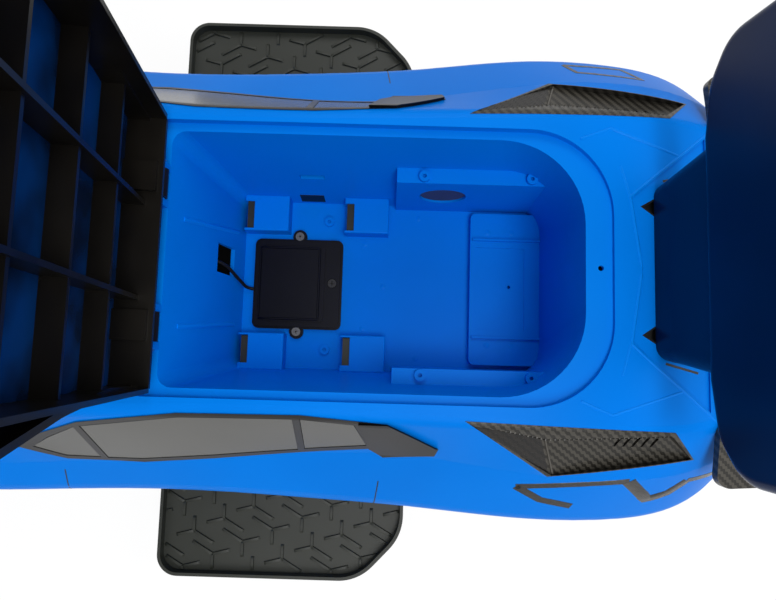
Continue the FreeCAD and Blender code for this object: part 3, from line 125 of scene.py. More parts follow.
# ---- finishes ----
class NodeBench:
    """Adds and links the nodes of one tree with short calls."""

    def __init__(self, tree: bpy.types.NodeTree) -> None:
        """Clears the tree that gets the nodes."""
        self.tree = tree
        tree.nodes.clear()

    def add(self, kind: str, inputs: dict | None = None, **settings: object) -> bpy.types.Node:
        """Adds one node.

        Args:
            kind: The node's type name.
            inputs: Values or output sockets for its inputs, by name or number.
            settings: Attributes to set on the node.

        Returns:
            The node.
        """
        node = self.tree.nodes.new(kind)
        for name, value in settings.items():
            setattr(node, name, value)
        for name, value in (inputs or {}).items():
            if isinstance(value, Socket):
                self.tree.links.new(value, node.inputs[name])
            else:
                node.inputs[name].default_value = value
        return node

    def math(self, operation: str, first: object, second: object = 0.0) -> Socket:
        """Adds a Math node and returns its output."""
        return self.add("ShaderNodeMath", {0: first, 1: second}, operation=operation).outputs[0]

    def mix(self, share: Socket, first: Colour, second: Colour) -> Socket:
        """Adds a colour Mix node and returns its colour output."""
        inputs = {0: share, 6: (*first, 1.0), 7: (*second, 1.0)}
        return self.add("ShaderNodeMix", inputs, data_type="RGBA").outputs[2]

    def noise(self, place: Socket, size: float, detail: float) -> Socket:
        """Adds a Noise node with patches of a size in millimetres and returns its value."""
        inputs = {"Vector": place, "Scale": 1.0 / (size * MM), "Detail": detail}
        return self.add("ShaderNodeTexNoise", inputs).outputs[0]

    def spread(self, value: Socket, low: float, high: float, start: float = 0.0, end: float = 1.0) -> Socket:
        """Spreads a value between start and end over the range from low to high.

        Args:
            value: The value's socket.
            low: The result at the start.
            high: The result at the end.
            start: Where the value's range starts.
            end: Where it ends.

        Returns:
            The result's socket.
        """
        return self.add("ShaderNodeMapRange", {"Value": value, "From Min": start, "From Max": end,
                                               "To Min": low, "To Max": high}).outputs[0]

    def seen_directly(self) -> Socket:
        """1 for a ray from the camera, off a gloss or through glass, and 0 for any other."""
        path = self.add("ShaderNodeLightPath").outputs
        mirrored = self.math("MAXIMUM", path["Is Glossy Ray"], path["Is Transmission Ray"])
        return self.math("MAXIMUM", path["Is Camera Ray"], mirrored)


MADE_MATERIALS: dict[str, bpy.types.Material] = {}


@dataclass(frozen=True)
class Finish:
    """One surface finish, which makes one material.

    Fields:
        name: The finish's name, from which the material's is made.
        slot: The record's slot that it belongs to.
        colour: Base colour, linear.
        second: Colour of the pattern's other part, linear.
        roughness: Roughness in the middle of its small variation.
        specular: Strength of the plain reflection, 0.5 for common plastics.
        relief: Height of the surface relief, in micrometres.
        grain: Size of the grain or of one tow of the twill, in millimetres.
        pattern: What the relief and the variation follow.
        metallic: 1 for bare metal.
        coat: Weight of the clear gloss layer.
        patch: Size of the broad variation between the two colours, in millimetres.
    """

    name: str
    slot: str
    colour: Colour
    second: Colour
    roughness: float
    specular: float
    relief: float
    grain: float
    pattern: Pattern = Pattern.MOULDED
    metallic: float = 0.0
    coat: float = 0.0
    patch: float = 110.0

    def material(self) -> bpy.types.Material:
        """The finish's node material, made once.

        Returns:
            The material.
        """
        if self.name in MADE_MATERIALS:
            return MADE_MATERIALS[self.name]
        material = bpy.data.materials.new(self.name + "_finish")
        MADE_MATERIALS[self.name] = material
        material.use_nodes = True
        bench = NodeBench(material.node_tree)
        place = bench.add("ShaderNodeTexCoord").outputs["Object"]
        make = {Pattern.TWILL: self._twill, Pattern.BRUSHED: self._brushed}.get(self.pattern, self._grained)
        colour, rough, height = make(bench, place)
        depth = self.relief * 1e-6
        bump = bench.add("ShaderNodeBump", {"Height": height, "Distance": depth, "Strength": 1.0})
        shader = bench.add("ShaderNodeBsdfPrincipled", {
            "Base Color": colour, "Roughness": rough, "Metallic": self.metallic, "Coat Weight": self.coat,
            "Coat Roughness": 0.06, "Specular IOR Level": self.specular, "Normal": bump.outputs[0]})
        bench.add("ShaderNodeOutputMaterial", {"Surface": shader.outputs[0]})
        return material

    def _grained(self, bench: NodeBench, place: Socket) -> tuple[Socket, Socket, Socket]:
        """A moulded, rubber or smoked surface.

        Args:
            bench: Where the nodes are added.
            place: The object coordinates.

        Returns:
            The sockets of the colour, the roughness and the height.
        """
        fine = bench.noise(place, self.grain, 3.0)
        share = bench.spread(bench.noise(place, self.patch, 2.0), 0.0, 1.0, 0.35, 0.65)
        swing = 0.08 if self.pattern is Pattern.RUBBER else 0.04
        rough = bench.spread(fine, self.roughness - swing, self.roughness + swing)
        return bench.mix(share, self.colour, self.second), rough, fine

    def _twill(self, bench: NodeBench, place: Socket) -> tuple[Socket, Socket, Socket]:
        """A two-by-two carbon weave, laid on the plan of the car.

        Args:
            bench: Where the nodes are added.
            place: The object coordinates.

        Returns:
            The sockets of the colour, the roughness and the height.
        """
        x, y, z = bench.add("ShaderNodeSeparateXYZ", {"Vector": place}).outputs
        tow_width = self.grain * MM
        across = bench.math("DIVIDE", bench.math("ADD", x, z), tow_width)
        along = bench.math("DIVIDE", bench.math("SUBTRACT", y, bench.math("MULTIPLY", z, 0.5)), tow_width)
        step = bench.math("ADD", bench.math("FLOOR", across), bench.math("FLOOR", along))
        over = bench.math("LESS_THAN", bench.math("FLOORED_MODULO", step, 4.0), 2.0)
        warp, weft = (bench.math("ABSOLUTE", bench.math("SUBTRACT", bench.math("FRACT", way), 0.5))
                      for way in (across, along))
        tow = bench.add("ShaderNodeMix", {0: over, 2: warp, 3: weft}, data_type="FLOAT").outputs[0]
        height = bench.math("SUBTRACT", 0.5, tow)
        rough = bench.spread(height, self.roughness + 0.1, self.roughness, end=0.5)
        return bench.mix(over, self.colour, self.second), rough, height

    def _brushed(self, bench: NodeBench, place: Socket) -> tuple[Socket, Socket, Socket]:
        """Metal brushed along Y.

        Args:
            bench: Where the nodes are added.
            place: The object coordinates.

        Returns:
            The sockets of the colour, the roughness and the height.
        """
        drawn = bench.add("ShaderNodeMapping", {"Vector": place, "Scale": (1.0, 0.04, 1.0)}).outputs[0]
        lines = bench.noise(drawn, self.grain, 4.0)
        rough = bench.spread(lines, self.roughness - 0.08, self.roughness + 0.08)
        return bench.mix(lines, self.colour, self.second), rough, lines


BODY_BLUE = Finish("body_blue", "body_blue", (0.0, 0.168, 0.68), (0.0, 0.180, 0.715), 0.36, 0.03, 10, 1.1)
# A lighter blue than the body's: painted highlight on the creases, the door handle and the tub's front step
# edges.
RIDGE_BLUE_PAINTED_HIGHLIGHT = Finish("crease_blue", "body_blue", (0.0, 0.188, 0.73), (0.0, 0.200, 0.765), 0.36, 0.08, 10, 1.1)
SEAT_BLACK = Finish("seat_black", "seat_black", (0.0004, 0.011, 0.052), (0.0006, 0.017, 0.078), 0.24, 0.14,
                    10, 0.9)
# Near-black with patches of bright blue; the blue is a painted reflection of the blue tub on the lid's inner
# panels.
LID_PANEL_PAINTED_REFLECTION = Finish("lid_panel", "seat_black", (0.0010, 0.0080, 0.0300), (0.0001, 0.036, 0.165), 0.18, 0.06,
                   10, 0.9, patch=40)
# Brown-black: partly the ribs' and channels' own colour, partly painted shade of the lid ribs' sides and the
# shadows between them.
RIB_BLACK_AND_PAINTED_SHADE = Finish("rib_black", "seat_black", (0.0034, 0.0029, 0.0024), (0.0075, 0.0064, 0.0050), 0.3, 0.16,
                   20, 0.9, patch=50)
SCREW_DARK = Finish("dull_screw", "steel", (0.10, 0.10, 0.105), (0.15, 0.15, 0.155), 0.42, 0.5, 20, 0.4,
                    metallic=0.8)
SCREW_BLACK = Finish("black_screw", "steel", (0.010, 0.010, 0.012), (0.018, 0.018, 0.021), 0.36, 0.5, 20, 0.4,
                     metallic=0.5)
# Dark blue-grey: painted shadow of the floor seen through the wheel box's hole.
WHEEL_BOX_PAINTED_SHADOW = Finish("wheel_box_blank", "module_grey", (0.040, 0.048, 0.100), (0.055, 0.062, 0.125), 0.5, 0.1,
                   40, 1.5)
CHASSIS_BLACK = Finish("chassis_black", "black_plastic", (0.010, 0.010, 0.011), (0.016, 0.016, 0.017), 0.5,
                       0.25, 60, 0.7)
GASKET_BLACK = Finish("gasket_black", "black_plastic", (0.007, 0.007, 0.0075), (0.012, 0.011, 0.011), 0.38,
                      0.25, 30, 0.6)
WINDOW_GREY = Finish("window_grey", "window_grey", (0.055, 0.055, 0.050), (0.066, 0.065, 0.059), 0.24, 0.35,
                     10, 2, Pattern.SMOKED)
CARBON = Finish("carbon_twill", "carbon_trim", (0.013, 0.0118, 0.0095), (0.050, 0.046, 0.038), 0.3, 0.3, 100,
                1.7, Pattern.TWILL)
# A darker copy of the carbon twill, painted shade: on the vents' front facets and on the left tail graphic.
CARBON_PAINTED_SHADE = Finish("carbon_twill_dark", "carbon_trim", (0.0022, 0.0018, 0.0016), (0.008, 0.0064, 0.0052),
                    0.22, 0.4, 80, 1.7, Pattern.TWILL)
# A lighter grey than the carbon: painted highlight along each vent's crest.
VENT_RIDGE_PAINTED_HIGHLIGHT = Finish("vent_ridge", "carbon_trim", (0.060, 0.055, 0.046), (0.075, 0.069, 0.059), 0.26, 0.5, 20,
                    1.5)
REST_GREY = Finish("footrest_grey", "footrest_grey", (0.018, 0.020, 0.0155), (0.026, 0.028, 0.023), 0.46,
                   0.25, 80, 0.8)
BOX_BLACK = Finish("box_black", "box_black", (0.0025, 0.0028, 0.006), (0.004, 0.0045, 0.009), 0.36, 0.12, 40,
                   0.6)
STEEL = Finish("brushed_steel", "steel", (0.50, 0.50, 0.51), (0.66, 0.66, 0.67), 0.32, 0.5, 20, 0.4,
               Pattern.BRUSHED, metallic=1.0)
CHROME = Finish("bright_chrome", "chrome", (0.78, 0.78, 0.79), (0.84, 0.84, 0.85), 0.12, 0.5, 10, 0.5,
                Pattern.BRUSHED, metallic=1.0)
RUBBER = Finish("tyre_rubber", "tyre_rubber", (0.012, 0.012, 0.012), (0.020, 0.020, 0.019), 0.68, 0.3, 180,
                0.9, Pattern.RUBBER)
RIM_SILVER = Finish("rim_silver", "rim_silver", (0.34, 0.35, 0.37), (0.40, 0.41, 0.43), 0.33, 0.5, 30, 0.6,
                    metallic=0.55, coat=0.2)
CAP_BLACK = Finish("cap_black", "cap_black", (0.009, 0.009, 0.010), (0.014, 0.014, 0.015), 0.22, 0.4, 20, 0.7)
GRIP_BLACK = Finish("grip_black", "grip_black", (0.010, 0.010, 0.010), (0.016, 0.016, 0.016), 0.58, 0.3, 160,
                    1.1, Pattern.RUBBER)
BUTTON_RED = Finish("button_red", "button_red", (0.48, 0.012, 0.012), (0.56, 0.02, 0.016), 0.28, 0.4, 20, 0.6)
MODULE_GREY = Finish("module_grey", "module_grey", (0.09, 0.09, 0.10), (0.12, 0.12, 0.13), 0.5, 0.3, 40, 1.5)
CELL_GREEN = Finish("cell_wrap", "cell_wrap", (0.10, 0.28, 0.15), (0.13, 0.34, 0.18), 0.3, 0.5, 40, 1.5,
                    coat=0.3)
WIRE_BLACK = Finish("wire_jacket", "wire_jacket", (0.006, 0.006, 0.007), (0.010, 0.010, 0.011), 0.42, 0.25,
                    30, 0.5)
LAMP_CLEAR = Finish("lamp_clear", "lamp_clear", (0.62, 0.66, 0.70), (0.72, 0.75, 0.79), 0.12, 0.5, 60, 3,
                    Pattern.SMOKED, coat=0.6)
LAMP_RED = Finish("lamp_red", "lamp_red", (0.42, 0.006, 0.008), (0.52, 0.012, 0.012), 0.14, 0.5, 60, 3,
                  Pattern.SMOKED, coat=0.6)

FINISHED_NODES: tuple[tuple[Finish, str], ...] = (
    (BODY_BLUE, "body_shell"),
    (CHASSIS_BLACK, "chassis_pan front_beam knuckle_right knuckle_left tie_rod steering_bush front_grille "
                    "rear_diffuser"),
    # The seat lid's panels get the painted reflection of the blue tub.
    (GASKET_BLACK, "dashboard deck_vents window_frames"), (LID_PANEL_PAINTED_REFLECTION, "seat_lid"), (SEAT_BLACK, "backrest"),
    (STEEL, "body_screws kingpins stub_axle_right stub_axle_left steering_column rear_axle axle_nuts "
            "hinge_pins backrest_screws battery_contacts"),
    (SCREW_BLACK, "battery_cover_screw"), (SCREW_DARK, "battery_box_screws"), (GRIP_BLACK, "steering_wheel"),
    (BUTTON_RED, "horn_button_right horn_button_left"), (MODULE_GREY, "sound_module speaker"),
    (CARBON, "rear_spoiler side_vents"), (REST_GREY, "footrest_right footrest_left"),
    (BOX_BLACK, "battery_box battery_cover"), (CELL_GREEN, "battery_cells"), (WIRE_BLACK, "battery_wire"),
    (WINDOW_GREY, "windscreen side_windows"), (LAMP_CLEAR, "headlights"), (LAMP_RED, "tail_lights"),
    (CHROME, "exhaust_tips"),
)
NODE_FINISH = {name: finish for finish, names in FINISHED_NODES for name in names.split()}
WHEEL_FINISH = {"tyre": RUBBER, "wheel": RIM_SILVER, "hub_cap": CAP_BLACK}


# ---- mesh helpers ----
def outward_mesh(name: str, shape: bmesh.types.BMesh) -> bpy.types.Mesh:
    """Turns a bmesh's faces outwards and makes a mesh of it.

    Args:
        name: The mesh's name.
        shape: The bmesh, which is freed.

    Returns:
        The new mesh.
    """
    bmesh.ops.recalc_face_normals(shape, faces=shape.faces)
    mesh = bpy.data.meshes.new(name)
    shape.to_mesh(mesh)
    shape.free()
    return mesh


def finished(name: str, mesh: bpy.types.Mesh, finish: Finish, sharp_deg: float = 35.0) -> bpy.types.Object:
    """Makes an object at the origin out of a mesh, smooth up to an angle.

    Args:
        name: The object's name.
        mesh: Its mesh, with the place in its vertices.
        finish: The finish it gets.
        sharp_deg: Edges that turn by more than this stay sharp.

    Returns:
        The new object.
    """
    mesh.name = name
    mesh.materials.clear()
    mesh.materials.append(finish.material())
    mesh.shade_smooth()
    mesh.set_sharp_from_angle(angle=math.radians(sharp_deg))
    piece = bpy.data.objects.new(name, mesh)
    bpy.context.scene.collection.objects.link(piece)
    return piece


def from_bmesh(name: str, shape: bmesh.types.BMesh, finish: Finish,
               sharp_deg: float = 35.0) -> bpy.types.Object:
    """Merges a bmesh's doubles, turns its faces outwards and makes an object of it.

    Args:
        name: The object's name.
        shape: The bmesh, which is freed.
        finish: The finish it gets.
        sharp_deg: Edges that turn by more than this stay sharp.

    Returns:
        The new object.
    """
    bmesh.ops.remove_doubles(shape, verts=shape.verts, dist=1e-7)
    return finished(name, outward_mesh(name, shape), finish, sharp_deg)


def add_loft(shape: bmesh.types.BMesh, rings: Sequence[Sequence[Vector]], closed: bool = False) -> None:
    """Adds a skin through rings of equal count, capped at both ends or closed on itself.

    Args:
        shape: The bmesh that gets the faces.
        rings: The rings' points, in order.
        closed: True joins the last ring to the first.
    """
    rows = [[shape.verts.new(point) for point in ring] for ring in rings]
    pairs = list(zip(rows, rows[1:]))
    if closed:
        pairs.append((rows[-1], rows[0]))
    for low, high in pairs:
        for i in range(len(low)):
            j = (i + 1) % len(low)
            shape.faces.new((low[i], low[j], high[j], high[i]))
    if not closed:
        shape.faces.new(tuple(reversed(rows[0])))
        shape.faces.new(tuple(rows[-1]))


def add_turned(shape: bmesh.types.BMesh, profile: Sequence[Point2], place: Matrix, steps: int = 48) -> None:
    """Adds a closed profile turned about the place's Z axis.

    Args:
        shape: The bmesh that gets the faces.
        profile: Radius and height of each point, in metres, as a closed loop clear of the axis.
        place: Turns and moves the result.
        steps: Faces round the axis.
    """
    angles = [math.tau * i / steps for i in range(steps)]
    add_loft(shape, [[place @ Vector((r * math.cos(angle), r * math.sin(angle), h)) for r, h in profile]
                     for angle in angles], closed=True)


def add_dome(shape: bmesh.types.BMesh, profile: Sequence[Point2], place: Matrix, steps: int = 32) -> None:
    """Adds a turned solid whose profile starts and ends on the axis.

    Args:
        shape: The bmesh that gets the faces.
        profile: Radius and height of each point between the two ends, from the bottom to the top.
        place: Turns and moves the result.
        steps: Faces round the axis.
    """
    angles = [math.tau * i / steps for i in range(steps)]
    add_loft(shape, [[place @ Vector((r * math.cos(angle), r * math.sin(angle), h)) for angle in angles]
                     for r, h in profile])


def add_plate(shape: bmesh.types.BMesh, corners: Sequence[Vector], proud: float,
              sunk: float = 0.0002) -> None:
    """Adds a thin flat plate.

    Args:
        shape: The bmesh that gets the faces.
        corners: Its corners, in order and in one plane.
        proud: Its height over that plane, to the side that looks up.
        sunk: How deep it stands under the plane.
    """
    normal = (corners[1] - corners[0]).cross(corners[2] - corners[0]).normalized()
    if normal.z < 0:
        normal = -normal
    add_loft(shape, [[corner + normal * height for corner in corners] for height in (-sunk, proud)])


def facing(at: Sequence[float], way: Sequence[float]) -> Matrix:
    """A place whose Z axis points along a direction.

    Args:
        at: The place's origin.
        way: Where its Z axis points.

    Returns:
        The matrix.
    """
    return Matrix.Translation(Vector(at)) @ Vector(way).to_track_quat("Z", "Y").to_matrix().to_4x4()


class Skin:
    """A CAD node's surface, for laying pieces on it."""

    def __init__(self, node: bpy.types.Object) -> None:
        """Reads the node's triangles.

        Args:
            node: The CAD node.
        """
        mesh = node.data
        corners = [v.co.copy() for v in mesh.vertices]
        self.tree = BVHTree.FromPolygons(corners, [tuple(p.vertices) for p in mesh.polygons])

    def hit(self, start: Vector, way: Vector) -> tuple[Vector, Vector] | None:
        """Where a ray meets the surface.

        Args:
            start: A point outside.
            way: The ray's direction.

        Returns:
            The point and the normal that faces the ray, or None where the ray misses.
        """
        point, normal, _, _ = self.tree.ray_cast(start, way)
        if point is None:
            return None
        return point, normal if normal.dot(way) < 0 else -normal


def add_ribbon(shape: bmesh.types.BMesh, skin: Skin, path: Sequence[Vector], way: Vector, width: float,
               proud: float, sunk: float = 0.0004, step: float = 0.004, shoulder: float = 0.8) -> None:
    """Adds a raised strip that follows a surface, where its line meets it.

    Args:
        shape: The bmesh that gets the faces.
        skin: The surface.
        path: Corners of the strip's middle line, outside the surface.
        way: The direction in which the line is laid on the surface.
        width: The strip's width at its foot.
        proud: Its height over the surface.
        sunk: How deep its foot stands in the surface.
        step: Largest distance between its cross-sections.
        shoulder: Its top's share of the width.
    """
    starts = []
    for a, b in zip(path, path[1:]):
        count = max(1, math.ceil((b - a).length / step))
        starts += [a.lerp(b, i / count) for i in range(count)]
    starts.append(path[-1])
    laid = [found for found in (skin.hit(start, way) for start in starts) if found]
    if len(laid) < 2:
        return
    rings = []
    for i, (point, normal) in enumerate(laid):
        ahead = laid[min(i + 1, len(laid) - 1)][0] - laid[max(i - 1, 0)][0]
        side = normal.cross(ahead).normalized()
        half = width / 2
        rings.append([point - side * half - normal * sunk, point - side * half * shoulder + normal * proud,
                      point + side * half * shoulder + normal * proud, point + side * half - normal * sunk])
    add_loft(shape, rings)


def in_metres(profile: Sequence[Point2]) -> list[Point2]:
    """A profile in millimetres, in metres."""
    return [(r * MM, h * MM) for r, h in profile]


def turned(along: Vector, normal: Vector) -> Matrix:
    """The turn whose X axis points along a direction and whose Z axis is its normal."""
    return Matrix((along, normal.cross(along), normal)).transposed()


# ---- repeated units ----
@dataclass(frozen=True)
class Spot:
    """One place of a repeated unit: its origin, its turns about the axes, and its growth along them."""

    at: Point3
    turn: Point3 = (0.0, 0.0, 0.0)
    grow: Point3 = (1.0, 1.0, 1.0)


@dataclass(frozen=True)
class UnitSize:
    """Real sizes of a repeated unit whose own mesh is one metre each way."""

    length: float
    width: float
    height: float


@dataclass
class Repeater:
    """Sets one small mesh at many spots with Geometry Nodes, and makes the result a plain mesh.

    Fields:
        name: The finished piece's name.
        unit: The unit's mesh, one metre each way.
        size: The unit's real sizes.
        finish: The piece's finish.
    """

    INPUTS: ClassVar[tuple[str, ...]] = ("Unit Length", "Unit Width", "Unit Height")

    name: str
    unit: bpy.types.Mesh
    size: UnitSize
    finish: Finish

    def _tree(self, unit: bpy.types.Object) -> tuple[bpy.types.GeometryNodeTree, list[str]]:
        """Builds the tree.

        Args:
            unit: The unit's object.

        Returns:
            The tree, and its size inputs' identifiers in the order of INPUTS.
        """
        tree = bpy.data.node_groups.new(self.name + "_tree", "GeometryNodeTree")
        tree.interface.new_socket("Geometry", in_out="INPUT", socket_type="NodeSocketGeometry")
        sockets = [tree.interface.new_socket(label, in_out="INPUT", socket_type="NodeSocketFloat")
                   for label in self.INPUTS]
        tree.interface.new_socket("Geometry", in_out="OUTPUT", socket_type="NodeSocketGeometry")
        bench = NodeBench(tree)
        source = bench.add("NodeGroupInput").outputs
        turn, grow = (bench.add("GeometryNodeInputNamedAttribute", {"Name": label}, data_type="FLOAT_VECTOR")
                      for label in ("turn", "grow"))
        size = bench.add("ShaderNodeCombineXYZ", {i: source[i + 1] for i in range(3)})
        scale = bench.add("ShaderNodeVectorMath", {0: size.outputs[0], 1: grow.outputs[0]},
                          operation="MULTIPLY")
        turned = bench.add("FunctionNodeEulerToRotation", {0: turn.outputs[0]})
        info = bench.add("GeometryNodeObjectInfo", {"Object": unit})
        laid = bench.add("GeometryNodeInstanceOnPoints", {
            "Points": source[0], "Instance": info.outputs["Geometry"], "Rotation": turned.outputs[0],
            "Scale": scale.outputs[0]})
        real = bench.add("GeometryNodeRealizeInstances", {0: laid.outputs[0]})
        finish = {"Geometry": real.outputs[0], "Material": self.finish.material()}
        dressed = bench.add("GeometryNodeSetMaterial", finish)
        bench.add("NodeGroupOutput", {0: dressed.outputs[0]})
        return tree, [socket.identifier for socket in sockets]

    def build(self, spots: list[Spot]) -> bpy.types.Object:
        """Repeats the unit.

        Args:
            spots: Where the units go.

        Returns:
            The finished object, at the origin.
        """
        unit = bpy.data.objects.new(self.name + "_unit", self.unit)
        cloud = bpy.data.meshes.new(self.name + "_spots")
        cloud.from_pydata([spot.at for spot in spots], [], [])
        for label in ("turn", "grow"):
            values = [number for spot in spots for number in getattr(spot, label)]
            cloud.attributes.new(label, "FLOAT_VECTOR", "POINT").data.foreach_set("vector", values)
        carrier = bpy.data.objects.new(self.name + "_carrier", cloud)
        for helper in (unit, carrier):
            bpy.context.scene.collection.objects.link(helper)
        tree, identifiers = self._tree(unit)
        modifier = carrier.modifiers.new("repeat", "NODES")
        modifier.node_group = tree
        for identifier, value in zip(identifiers, (self.size.length, self.size.width, self.size.height)):
            modifier[identifier] = value
        mesh = bpy.data.meshes.new_from_object(carrier.evaluated_get(bpy.context.evaluated_depsgraph_get()))
        for helper in (carrier, unit):
            bpy.data.objects.remove(helper)
        return finished(self.name, mesh, self.finish)


def unit_bar(taper: float = 0.82) -> bpy.types.Mesh:
    """A bar one metre each way, standing on Z = 0, narrower at its top.

    Args:
        taper: The top's share of the foot's width and length.

    Returns:
        The mesh.
    """
    shape = bmesh.new()
    rings = []
    for height, share in ((0.0, 1.0), (0.72, (1 + taper) / 2), (1.0, taper)):
        half = share / 2
        rings.append([Vector((x * half, y * half, height)) for x, y in ((-1, -1), (1, -1), (1, 1), (-1, 1))])
    add_loft(shape, rings)
    return outward_mesh("bar_unit", shape)


def unit_peg(sides: int, taper: float = 0.85) -> bpy.types.Mesh:
    """A peg one metre across and high, with a number of sides, standing on Z = 0.

    Args:
        sides: Its number of sides.
        taper: The top's share of the foot's width.

    Returns:
        The mesh.
    """
    shape = bmesh.new()
    add_dome(shape, ((0.5, 0.0), (0.5, 0.7), (0.5 * taper, 1.0)), Matrix.Identity(4), sides)
    return outward_mesh("peg_unit", shape)


# ---- the workshop ----
class Workshop:
    """The loaded frame, its nodes and their surfaces."""

    def __init__(self) -> None:
        """Loads the frame and keeps the CAD model's box."""
        self.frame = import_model()
        self.cad_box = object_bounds()
        self.skins: dict[str, Skin] = {}

    def node(self, name: str) -> bpy.types.Object:
        """The CAD node of that name."""
        return self.frame["nodes"][name]

    def skin(self, name: str) -> Skin:
        """The CAD node's surface, read once."""
        if name not in self.skins:
            self.skins[name] = Skin(self.node(name))
        return self.skins[name]

    def paint(self) -> None:
        """Gives every CAD node its material."""
        for name, node in self.frame["nodes"].items():
            finish = NODE_FINISH.get(name)
            if finish is None:
                finish = WHEEL_FINISH[next(kind for kind in WHEEL_FINISH if name.startswith(kind))]
            node.data.materials.clear()
            node.data.materials.append(finish.material())
            LOG.info("painted %s with %s", name, finish.name)


# ---- strips laid on surfaces ----
class View(Enum):
    """The view that a line is drawn in, and so the side from which it is laid on a surface."""

    PLAN = "X and Y, from above"
    SIDE = "X and Z, from beside"
    REAR = "Y and Z, from behind"

    def path(self, line: Sequence[Point2], side: Side) -> list[Vector]:
        """A path outside the body for a line that is drawn for the driver's right.

        Args:
            line: The line's corners in this view, in millimetres.
            side: The side that gets it.

        Returns:
            The path's corners, in metres.
        """
        if self is View.PLAN:
            return [Vector((x, y * side.value, 400)) * MM for x, y in line]
        if self is View.SIDE:
            return [Vector((x, 300 * side.value, z)) * MM for x, z in line]
        return [Vector((500, y * side.value, z)) * MM for y, z in line]

    def way(self, side: Side) -> Vector:
        """The direction in which a path on one side is laid on the surface."""
        return {View.PLAN: DOWN, View.SIDE: Vector((0, -side.value, 0)), View.REAR: FORWARD}[self]


class Pairing(Enum):
    """The pieces that lines for the driver's right become, each with the sides that it holds."""

    DRAWN = ((Side.RIGHT,),)
    TOGETHER = ((Side.RIGHT, Side.LEFT),)
    APART = ((Side.RIGHT,), (Side.LEFT,))


@dataclass(frozen=True)
class Strip:
    """Raised strips along lines on a node's surface, with all sizes in millimetres.

    Fields:
        name: The piece's name, before the side's where each side is a piece.
        node: The CAD node that they lie on.
        finish: Their finish.
        lines: Their middle lines in the view, or in space where the sub-assembly lays them itself.
        width: Their width at the foot.
        proud: Their height over the surface.
        shoulder: Their top's share of the width.
        view: The view of the lines.
        pairing: The pieces and sides that the lines are used for.
        middle: Lines that cross the car's middle, which aren't mirrored.
        step: Largest distance between their cross-sections.
    """

    name: str
    node: str
    finish: Finish
    lines: tuple
    width: float
    proud: float
    shoulder: float = 0.8
    view: View = View.PLAN
    pairing: Pairing = Pairing.DRAWN
    middle: tuple = ()
    step: float = 4.0


# ---- sub-assemblies --------------------------------------------------------------------------------------
@dataclass
class Assembly:
    """What every sub-assembly does: it makes pieces and fits them to the bodies of the shop's frame."""

    shop: Workshop
    strips = ()

    def fit(self, piece: bpy.types.Object, finish: Finish, body: str = "chassis",
            stands_for: Sequence[str] = ()) -> None:
        """Fits a finished piece to a body.

        Args:
            piece: The piece, at the origin.
            finish: Its finish, which is not used.
            body: The CAD body that it moves with.
            stands_for: CAD nodes that it replaces.
        """
        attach(piece, body)
        if stands_for:
            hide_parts(*stands_for)
        LOG.info("fitted %s to %s, %d faces", piece.name, body, len(piece.data.polygons))

    def shape(self, name: str, shape: bmesh.types.BMesh, finish: Finish, body: str = "chassis") -> None:
        """Makes a piece of a bmesh and fits it to a body."""
        self.fit(from_bmesh(name, shape, finish), finish, body)

    def repeat(self, name: str, unit: bpy.types.Mesh, size: UnitSize, finish: Finish, spots: list[Spot],
               body: str = "chassis") -> None:
        """Repeats a unit at many spots, where there are any, and fits the result to a body as one piece."""
        if spots:
            self.fit(Repeater(name, unit, size, finish).build(spots), finish, body)

    def ribbons(self, strip: Strip, ending: str, paths: Sequence[Sequence[Vector]], way: Vector,
                body: str = "chassis") -> None:
        """Lays strips along paths and fits them as one piece.

        Args:
            strip: Their node, finish and sizes.
            ending: What follows the strip's name in the piece's.
            paths: Each strip's middle line, outside the surface.
            way: The direction in which they are laid on the surface.
            body: The CAD body that they move with.
        """
        shape = bmesh.new()
        for path in paths:
            add_ribbon(shape, self.shop.skin(strip.node), path, way, strip.width * MM, strip.proud * MM,
                       step=strip.step * MM, shoulder=strip.shoulder)
        if shape.faces:
            self.shape(strip.name + ending, shape, strip.finish, body)
        else:
            shape.free()
            LOG.warning("%s met no surface and is left out", strip.name + ending)

    def lay(self) -> None:
        """Lays all of the sub-assembly's strips on their surfaces."""
        for strip in self.strips:
            for sides in strip.pairing.value:
                ending = "_" + sides[0].word if strip.pairing is Pairing.APART else ""
                paths = [strip.view.path(line, side) for line in strip.lines for side in sides]
                paths += [strip.view.path(line, Side.RIGHT) for line in strip.middle]
                self.ribbons(strip, ending, paths, strip.view.way(sides[0]))


